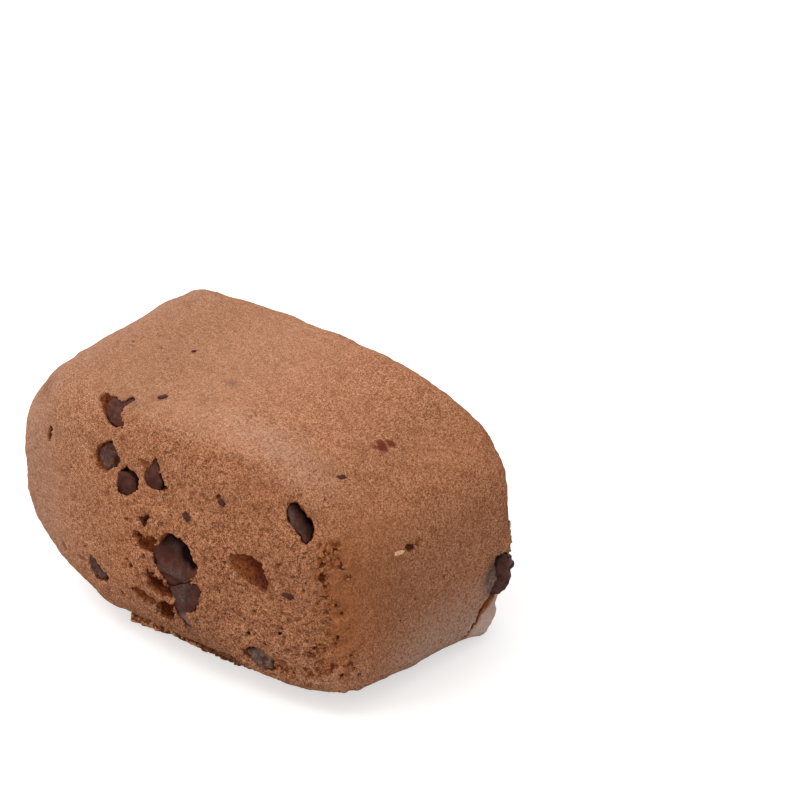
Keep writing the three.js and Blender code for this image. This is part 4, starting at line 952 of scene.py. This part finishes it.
# ------------------------------------------------------------------ small things
def lump_mesh(seed, detail=2):
    """A closed ball of radius 1."""
    t = (1 + 5 ** 0.5) / 2
    v = [(-1, t, 0), (1, t, 0), (-1, -t, 0), (1, -t, 0), (0, -1, t), (0, 1, t), (0, -1, -t), (0, 1, -t), (t, 0, -1), (t, 0, 1), (-t, 0, -1), (-t, 0, 1)]
    f = [(0, 11, 5), (0, 5, 1), (0, 1, 7), (0, 7, 10), (0, 10, 11), (1, 5, 9), (5, 11, 4), (11, 10, 2), (10, 7, 6), (7, 1, 8),
         (3, 9, 4), (3, 4, 2), (3, 2, 6), (3, 6, 8), (3, 8, 9), (4, 9, 5), (2, 4, 11), (6, 2, 10), (8, 6, 7), (9, 8, 1)]
    v = [np.array(p) / np.linalg.norm(p) for p in v]
    for _ in range(detail):
        middle, new = {}, []

        def half(i, j):
            key = (min(i, j), max(i, j))
            if key not in middle:
                m = v[i] + v[j]
                v.append(m / np.linalg.norm(m))
                middle[key] = len(v) - 1
            return middle[key]

        for a, b, c in f:
            ab, bc, ca = half(a, b), half(b, c), half(c, a)
            new += [(a, ab, ca), (b, bc, ab), (c, ca, bc), (ab, bc, ca)]
        f = new
    return np.array(v), np.array(f)


BALL, BALL_FACES = lump_mesh(0, 2)
FINE_BALL, FINE_FACES = lump_mesh(0, 3)


def lumps(spec, seed, fine=False, rough=0.22):
    """Joined uneven lumps from (place, out, long, wide, high, angle)."""
    ball, faces_of = (FINE_BALL, FINE_FACES) if fine else (BALL, BALL_FACES)
    pts, fcs, n = [], [], 0
    for k, (at, out, long, wide, high, angle) in enumerate(spec):
        nn, a, b = axes(out)
        c, s = math.cos(angle), math.sin(angle)
        u, w = a * c + b * s, -a * s + b * c
        shape = ball * (1 + rough * noise(ball + 7.3 * k, 1.3, seed)[:, None])
        p = np.asarray(at) + shape[:, :1] * long / 2 * u + shape[:, 1:2] * wide / 2 * w + shape[:, 2:] * high / 2 * nn
        pts.append(p)
        fcs.append(faces_of + n)
        n += len(ball)
    return np.concatenate(pts), np.concatenate(fcs)


spec = [(np.array(at) - np.array(out) * 0.05, out, 0.85 * long, 0.8 * wide, 0.30, angle) for at, out, long, wide, angle, grey in BITS]
pts, fcs = lumps(spec, 33, fine=True, rough=0.16)
bits = make_object("chocolate_bits", pts, fcs)
give(bits, "bloom_and_sheen", np.repeat([0.4 * b[5] for b in BITS], len(FINE_BALL)))
give(bits, "crumbed", np.zeros(len(pts)))
give(bits, "deep", np.zeros(len(pts)))

flake_at = onto_skin(np.array([[27.36, -5.08, 21.0]]))[0]
pts, fcs = lumps([(flake_at + slope_at(flake_at[None])[0] * 0.04, (0.964, -0.16, 0.214), 1.5, 0.6, 0.26, 0.05)], 34, fine=True, rough=0.12)
flake = make_object("pale_flake", pts, fcs)

# crumbs: on the foot, round the torn hollows, on the crumbly edge and in the pockets
crumb_spec = []


def settle(at, out, size):
    """Lower a crumb until it rests on the dough."""
    for _ in range(26):
        if D[tuple(np.round((at - LOW) / STEP).astype(int))] < 0.28 * size:
            break
        at = at - np.array(out) * 0.1
    return at


def crumbs_near(centre, spread, count, big, lift=0.12):
    c = np.array(centre) + rng.normal(0, 1, (count, 3)) * np.array(spread)
    on = onto_skin(c)
    out = slope_at(on)
    for p, o in zip(on, out):
        r = big * (0.35 + 0.65 * rng.random() ** 2)
        crumb_spec.append((settle(p + o * r * lift, o, r), o, r * rng.uniform(1.0, 1.7), r, r * rng.uniform(0.6, 1.0), rng.uniform(0, 6.28)))


for x, y, z, wide, high in GAPS:
    for _ in range(5 if wide > 0.25 else 3):
        turn = rng.uniform(0, 6.28)
        reach = rng.uniform(1.5, 2.4)
        crumbs_near((x + 0.66 * wide * reach * math.cos(turn), y + 0.70 * wide * reach * math.cos(turn), z + high * reach * math.sin(turn)), (0.05, 0.05, 0.05), 1, 0.52, -0.10)
crumbs_near((22.6, -13.7, 7.6), (1.6, 1.0, 1.6), 40, 0.46, -0.10)
crumbs_near((23.3, -13.0, 22.6), (0.7, 0.7, 1.0), 22, 0.50, -0.12)
for k in range(8):
    t = (k + rng.uniform(0.1, 0.9)) / 8
    crumb_spec.append(((3.0 + 2.8 * t, -17.75 + 0.2 * t, 13.75 + 1.0 * t + rng.normal(0, 0.05)), (0.1, -0.99, 0), rng.uniform(0.30, 0.5), 0.24, 0.22, rng.uniform(-0.4, 0.8)))
crumbs_near((17.6, -15.6, 5.6), (1.0, 0.4, 0.5), 12, 0.5)
crumbs_near((-1.6, -18.6, 19.2), (1.5, 0.3, 0.6), 12, 0.34)
crumbs_near((-1.0, -18.6, 11.0), (1.4, 0.3, 1.6), 12, 0.30)
crumbs_near((-0.5, -18.5, 21.4), (0.9, 0.3, 0.8), 12, 0.3)
crumbs_near((30.0, 14.3, 13.8), (0.2, 0.45, 1.2), 38, 0.80, -0.25)
for x, y, z, r in FOOT[:6]:
    for _ in range(3):
        at = np.array([x + rng.uniform(0.0, 2.0), y - r * 0.62 + rng.normal(0, 0.1), abs(rng.normal(0.45, 0.2)) + 0.12])
        b = rng.uniform(0.2, 0.4)
        crumb_spec.append((settle(at, (0, -0.8, 0.6), b), (0, -0.8, 0.6), b * 1.4, b, b * 0.8, rng.uniform(0, 6.28)))
pts, fcs = lumps(crumb_spec, 35, rough=0.3)
pts[:, 2] = np.maximum(pts[:, 2], 0.02)
crumbs = make_object("crumbs", pts, fcs)


# ------------------------------------------------------------------ materials
class Nodes:
    """Short ways to write a material."""

    def __init__(self, name):
        self.mat = bpy.data.materials.new(name)
        self.mat.use_nodes = True
        self.tree = self.mat.node_tree
        self.tree.nodes.clear()
        self.out = self.tree.nodes.new("ShaderNodeOutputMaterial")
        self.shader = self.tree.nodes.new("ShaderNodeBsdfPrincipled")
        self.link(self.shader.outputs[0], self.out.inputs[0])
        self.place = self.tree.nodes.new("ShaderNodeTexCoord").outputs["Object"]

    def link(self, a, b):
        self.tree.links.new(a, b)

    def put(self, socket, value):
        if hasattr(value, "is_output"):
            self.link(value, socket)
        elif isinstance(value, tuple) and len(value) == 3 and socket.type == "RGBA":
            socket.default_value = (*value, 1)
        else:
            socket.default_value = value

    def math(self, op, a, b=0.0, c=0.0, clamp=False):
        n = self.tree.nodes.new("ShaderNodeMath")
        n.operation, n.use_clamp = op, clamp
        for s, v in zip(n.inputs, (a, b, c)):
            self.put(s, v)
        return n.outputs[0]

    def noise(self, scale, detail=2.0, rough=0.5, vector=None, distortion=0.0):
        n = self.tree.nodes.new("ShaderNodeTexNoise")
        n.inputs["Scale"].default_value = scale
        n.inputs["Detail"].default_value = detail
        n.inputs["Roughness"].default_value = rough
        n.inputs["Distortion"].default_value = distortion
        self.link(vector or self.place, n.inputs["Vector"])
        return n.outputs[0]

    def map(self, value, lo, hi, a=0.0, b=1.0, smooth=True):
        n = self.tree.nodes.new("ShaderNodeMapRange")
        n.interpolation_type = "SMOOTHSTEP" if smooth else "LINEAR"
        for s, v in zip(n.inputs, (value, lo, hi, a, b)):
            self.put(s, v)
        return n.outputs[0]

    def mix(self, factor, a, b, how="MIX"):
        n = self.tree.nodes.new("ShaderNodeMix")
        n.data_type, n.blend_type = "RGBA", how
        self.put(n.inputs[0], factor)
        self.put(n.inputs[6], a)
        self.put(n.inputs[7], b)
        return n.outputs[2]

    def attribute(self, name):
        n = self.tree.nodes.new("ShaderNodeAttribute")
        n.attribute_name = name
        return n.outputs["Fac"]

    def near(self, at, reach, uneven, far, close):
        """1 close to a place on the bar, 0 away from it, with an uneven edge."""
        n = self.place
        for how, value in (("SUBTRACT", (np.array(at) - ORIGIN) / 1000), ("DIVIDE", np.array(reach) / 1000)):
            v = self.tree.nodes.new("ShaderNodeVectorMath")
            v.operation = how
            self.link(n, v.inputs[0])
            v.inputs[1].default_value = tuple(float(k) for k in value)
            n = v.outputs[0]
        v = self.tree.nodes.new("ShaderNodeVectorMath")
        v.operation = "LENGTH"
        self.link(n, v.inputs[0])
        return self.map(self.math("ADD", v.outputs["Value"], uneven), far, close)

    def bump(self, height, distance, strength=1.0, normal=None):
        n = self.tree.nodes.new("ShaderNodeBump")
        n.inputs["Strength"].default_value = strength
        n.inputs["Distance"].default_value = distance
        self.link(height, n.inputs["Height"])
        if normal is not None:
            self.link(normal, n.inputs["Normal"])
        return n.outputs[0]

    def set(self, **values):
        for key, value in values.items():
            self.put(self.shader.inputs[key.replace("_", " ")], value)


LIGHT_SKIN = (0.660, 0.328, 0.190)
SKIN_COLOUR = (0.420, 0.176, 0.086)
DARK_SKIN = (0.190, 0.052, 0.017)
# the dark colour painted into pores, creases and pits as shade
PORE_SHADE = (0.155, 0.030, 0.007)
TORN = (0.410, 0.122, 0.036)
TORN_DARK = (0.160, 0.020, 0.004)
# colour of the stains and of the painted shade in the hollows, the slit and the crease
STAIN_AND_SHADE = (0.095, 0.022, 0.012)

m = Nodes("baked_dough")
finest = m.noise(7200, 1.0, 0.6)
fine = m.noise(2900, 2.0, 0.65)
grain_size = m.noise(1300, 2.0, 0.6)
wide = m.noise(150, 3.0, 0.55)
worm = m.noise(1750, 2.0, 0.55, distortion=0.8)
depth_a, porous_a, torn_a, stain_and_shade_a = (m.attribute(k) for k in ("depth", "porous", "torn", "stain_and_shade"))
rub_a, painted_sheen_a, warm_a, crust_and_sheen_a = (m.attribute(k) for k in ("rub", "pale", "warm", "crust_and_sheen"))
mixed = m.math("MULTIPLY_ADD", finest, 0.58, m.math("MULTIPLY_ADD", fine, 0.30, m.math("MULTIPLY", grain_size, 0.12)))
mottle = m.noise(620, 2.0, 0.5)
colour = m.mix(m.map(mixed, 0.40, 0.505, smooth=False), DARK_SKIN, SKIN_COLOUR)
colour = m.mix(m.map(mixed, 0.505, 0.61, smooth=False), colour, LIGHT_SKIN)
colour = m.mix(m.map(mottle, 0.50, 0.30, 0.0, 0.28), colour, DARK_SKIN)
colour = m.mix(m.map(wide, 0.35, 0.70, 0.0, 0.2), colour, SKIN_COLOUR)
# painted shade: the colour is darkened where the bump's creases lie, since the bump casts no shade of its own
shaded_creases = m.math("MULTIPLY", m.map(worm, 0.44, 0.34), porous_a)
colour = m.mix(m.math("MULTIPLY", shaded_creases, 0.38), colour, PORE_SHADE)
# paler top: partly baked crust, partly painted sheen
colour = m.mix(m.math("MULTIPLY", crust_and_sheen_a, 0.34), colour, (0.475, 0.230, 0.126))
colour = m.mix(m.math("MULTIPLY", warm_a, 0.5), colour, (0.390, 0.130, 0.042))
hollow_colour = m.mix(m.map(mixed, 0.36, 0.56, 0.25, 1.0), TORN_DARK, TORN)
colour = m.mix(torn_a, colour, hollow_colour)
# painted shade: pits and hollows are darkened the deeper they lie below the smooth bar
colour = m.mix(m.math("MULTIPLY", m.map(depth_a, 0.12, 0.55), m.math("SUBTRACT", 0.50, m.math("MULTIPLY", torn_a, 0.5))), colour, PORE_SHADE)
colour = m.mix(m.math("MULTIPLY", m.map(depth_a, 0.45, 1.7), 0.85), colour, TORN_DARK)
# darker where chocolate stains the pockets and hollows, with painted shade in the hollows, along the slit and in the
# crease above the foot
colour = m.mix(stain_and_shade_a, colour, STAIN_AND_SHADE)
colour = m.mix(m.math("MULTIPLY", rub_a, m.map(grain_size, 0.30, 0.60, 0.55, 1.0)), colour, (0.080, 0.050, 0.042))
# painted sheen and highlight: paler where the skin would catch the light
colour = m.mix(m.math("MULTIPLY", painted_sheen_a, m.map(fine, 0.30, 0.62, 0.14, 0.82)), colour, (0.500, 0.325, 0.245))
colour = m.mix(m.math("MULTIPLY", m.attribute("flap"), m.map(mixed, 0.42, 0.60, 0.60, 1.0)), colour, (0.660, 0.450, 0.360))
# painted sheen as a cooler, greyer tint
colour = m.mix(m.attribute("sheen_tint"), colour, m.mix(1.0, colour, (0.985, 1.055, 1.15), "MULTIPLY"))
lip_mix = m.noise(1500, 2.0, 0.6, distortion=0.4)
lip_colour = m.mix(m.map(lip_mix, 0.41, 0.50), (0.130, 0.030, 0.008), m.mix(m.map(lip_mix, 0.50, 0.59), (0.430, 0.165, 0.062), (0.760, 0.390, 0.200)))
colour = m.mix(m.math("MULTIPLY", m.math("MULTIPLY", m.attribute("lip"), 0.85), m.math("SUBTRACT", 1.0, stain_and_shade_a)), colour, lip_colour)
ragged = m.math("MULTIPLY", m.math("SUBTRACT", grain_size, 0.5), 1.6)
marks_and_print_shade, gap_shade = 0.0, 0.0
for x, y, z, r, much in MARKS:
    marks_and_print_shade = m.math("MAXIMUM", marks_and_print_shade, m.math("MULTIPLY", m.near((x, y, z), (r, r, r), ragged, 1.35, 0.45), much))
# painted shade in the openings between the crumbs
for x, y, z, wide_r, high_r in GAPS:
    gap_shade = m.math("MAXIMUM", gap_shade, m.near((x, y, z), (wide_r, wide_r, high_r), ragged, 1.35, 0.80))
# reddish marks, and painted shade in the empty print
colour = m.mix(marks_and_print_shade, colour, (0.170, 0.040, 0.022))
colour = m.mix(m.math("MULTIPLY", gap_shade, 0.92), colour, (0.100, 0.016, 0.003))
# painted light and shade over the whole skin
colour = m.mix(1.0, colour, m.attribute("painted_shading"), "MULTIPLY")
height = m.math("MULTIPLY_ADD", fine, 0.6, m.math("MULTIPLY_ADD", finest, 0.35, m.math("MULTIPLY", grain_size, 0.5)))
height = m.math("SUBTRACT", height, m.math("MULTIPLY", shaded_creases, 0.9))
m.set(Base_Color=colour, Roughness=m.map(fine, 0.3, 0.7, 0.78, 0.95), Normal=m.bump(height, 0.00030, 0.9))
m.shader.inputs["Specular IOR Level"].default_value = 0.02
dough_material = m.mat

m = Nodes("dark_chocolate")
soft_n, fine_n, dust_n = m.noise(420, 3.0, 0.6), m.noise(3200, 2.0, 0.6), m.noise(1900, 1.0, 0.5)
bloom_and_sheen_a, crumbed_a, gloss_a = m.attribute("bloom_and_sheen"), m.attribute("crumbed"), m.attribute("gloss")
colour = m.mix(m.map(soft_n, 0.35, 0.65), (0.060, 0.0180, 0.0125), (0.090, 0.0290, 0.0205))
grey = m.mix(m.map(fine_n, 0.35, 0.65), (0.085, 0.058, 0.050), (0.155, 0.112, 0.098))
# grey bloom, partly painted sheen and highlight in place of reflections
colour = m.mix(m.math("MULTIPLY", bloom_and_sheen_a, m.map(soft_n, 0.30, 0.62, 0.35, 1.0)), colour, grey)
colour = m.mix(m.math("MULTIPLY", crumbed_a, m.map(dust_n, 0.50, 0.64, 0.0, 0.8)), colour, (0.27, 0.155, 0.098))
colour = m.mix(m.attribute("frost"), colour, (0.240, 0.160, 0.135))
colour = m.mix(gloss_a, colour, m.mix(m.map(soft_n, 0.38, 0.60), (0.036, 0.0150, 0.0135), (0.098, 0.046, 0.040)))
colour = m.mix(m.attribute("ruddy"), colour, m.mix(m.map(soft_n, 0.35, 0.65), (0.090, 0.0280, 0.0220), (0.165, 0.059, 0.046)))
# painted shade on the chips, near black
colour = m.mix(m.math("MULTIPLY", m.attribute("deep"), 0.96), colour, (0.0045, 0.0016, 0.0016))
m.set(Base_Color=colour, Roughness=m.math("SUBTRACT", m.map(soft_n, 0.3, 0.7, 0.50, 0.66), m.math("MULTIPLY", gloss_a, 0.22)),
      Normal=m.bump(m.math("MULTIPLY_ADD", fine_n, 0.5, soft_n), 0.00012, 0.7))
m.shader.inputs["Specular IOR Level"].default_value = 0.03
chocolate_material = m.mat

m = Nodes("dough_crumb")
fine_n = m.noise(2600, 2.0, 0.6)
colour = m.mix(m.map(fine_n, 0.35, 0.65), (0.260, 0.092, 0.034), (0.520, 0.215, 0.088))
m.set(Base_Color=colour, Roughness=0.85, Normal=m.bump(fine_n, 0.0002, 0.8))
m.shader.inputs["Specular IOR Level"].default_value = 0.08
crumb_material = m.mat

m = Nodes("pale_crumb")
fine_n = m.noise(2200, 2.0, 0.6)
colour = m.mix(m.map(fine_n, 0.35, 0.65), (0.60, 0.31, 0.15), (0.86, 0.55, 0.33))
m.set(Base_Color=colour, Roughness=0.7, Normal=m.bump(fine_n, 0.0001, 0.6))
pale_material = m.mat

for obj, material in [(dough, dough_material), (bits, chocolate_material), (crumbs, crumb_material), (flake, pale_material)] + [(o, chocolate_material) for o in pieces.values()]:
    obj.data.materials.clear()
    obj.data.materials.append(material)

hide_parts("brownie_dough")
for name, obj in pieces.items():
    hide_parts(name)
for obj in [dough, bits, crumbs, flake, *pieces.values()]:
    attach(obj, "root")

# ------------------------------------------------------------------ floor, light and camera
def flat_square(name, half, z, colour, glow):
    obj = make_object(name, np.array([[-half, -half, z], [half, -half, z], [half, half, z], [-half, half, z]]), [[0, 1, 2, 3]], metres=False)
    f = Nodes(name)
    f.set(Base_Color=colour, Roughness=0.9)
    f.shader.inputs["Specular IOR Level"].default_value = 0.1
    f.shader.inputs["Emission Color"].default_value = (1, 1, 1, 1)
    f.shader.inputs["Emission Strength"].default_value = glow
    obj.data.materials.append(f.mat)
    obj.visible_shadow = False
    return obj


# the floor that is seen is white; what it throws back on the bar is kept soft
floor = flat_square("floor", 2.0, -0.0001, (0.60, 0.60, 0.60), 0.56)
floor.visible_diffuse = floor.visible_glossy = False
bounce = flat_square("floor_bounce", 2.0, -0.0003, (0.54, 0.51, 0.48), 0.0)
bounce.visible_camera = False

world = bpy.data.worlds.new("studio")
scene.world = world
world.use_nodes = True
sky = world.node_tree
sky.nodes["Background"].inputs[0].default_value = (1.0, 0.985, 0.97, 1)
lean = sky.nodes.new("ShaderNodeVectorMath")
lean.operation = "DOT_PRODUCT"
lean.inputs[1].default_value = (-0.42, -0.02, 0.12)
sky.links.new(sky.nodes.new("ShaderNodeTexCoord").outputs["Generated"], lean.inputs[0])
level = sky.nodes.new("ShaderNodeMath")
level.operation = "MULTIPLY_ADD"
level.inputs[1].default_value = SKY
level.inputs[2].default_value = SKY
sky.links.new(lean.outputs["Value"], level.inputs[0])
sky.links.new(level.outputs[0], sky.nodes["Background"].inputs[1])


def area(name, at, size, power):
    light = bpy.data.lights.new(name, "AREA")
    light.shape, light.size, light.energy = "SQUARE", size, power
    obj = bpy.data.objects.new(name, light)
    scene.collection.objects.link(obj)
    obj.location = at
    obj.rotation_euler = (Vector((0, 0, 0.015)) - Vector(at)).to_track_quat("-Z", "Y").to_euler()


area("softbox", (-0.18, -0.20, 0.57), 0.26, 1.25)

camera = bpy.data.cameras.new("camera")
camera.lens, camera.sensor_width, camera.sensor_fit = LENS, 36.0, "AUTO"
camera.clip_start, camera.clip_end = 0.01, 20.0
view = bpy.data.objects.new("camera", camera)
scene.collection.objects.link(view)
up = np.cross(CAM_BACK, CAM_RIGHT)
at = (CAM_AT - ORIGIN) / 1000
view.matrix_world = Matrix([[CAM_RIGHT[k], up[k], CAM_BACK[k], at[k]] for k in range(3)] + [[0, 0, 0, 1]])
scene.camera = view
scene.view_settings.view_transform = "Standard"
scene.view_settings.look = "None"
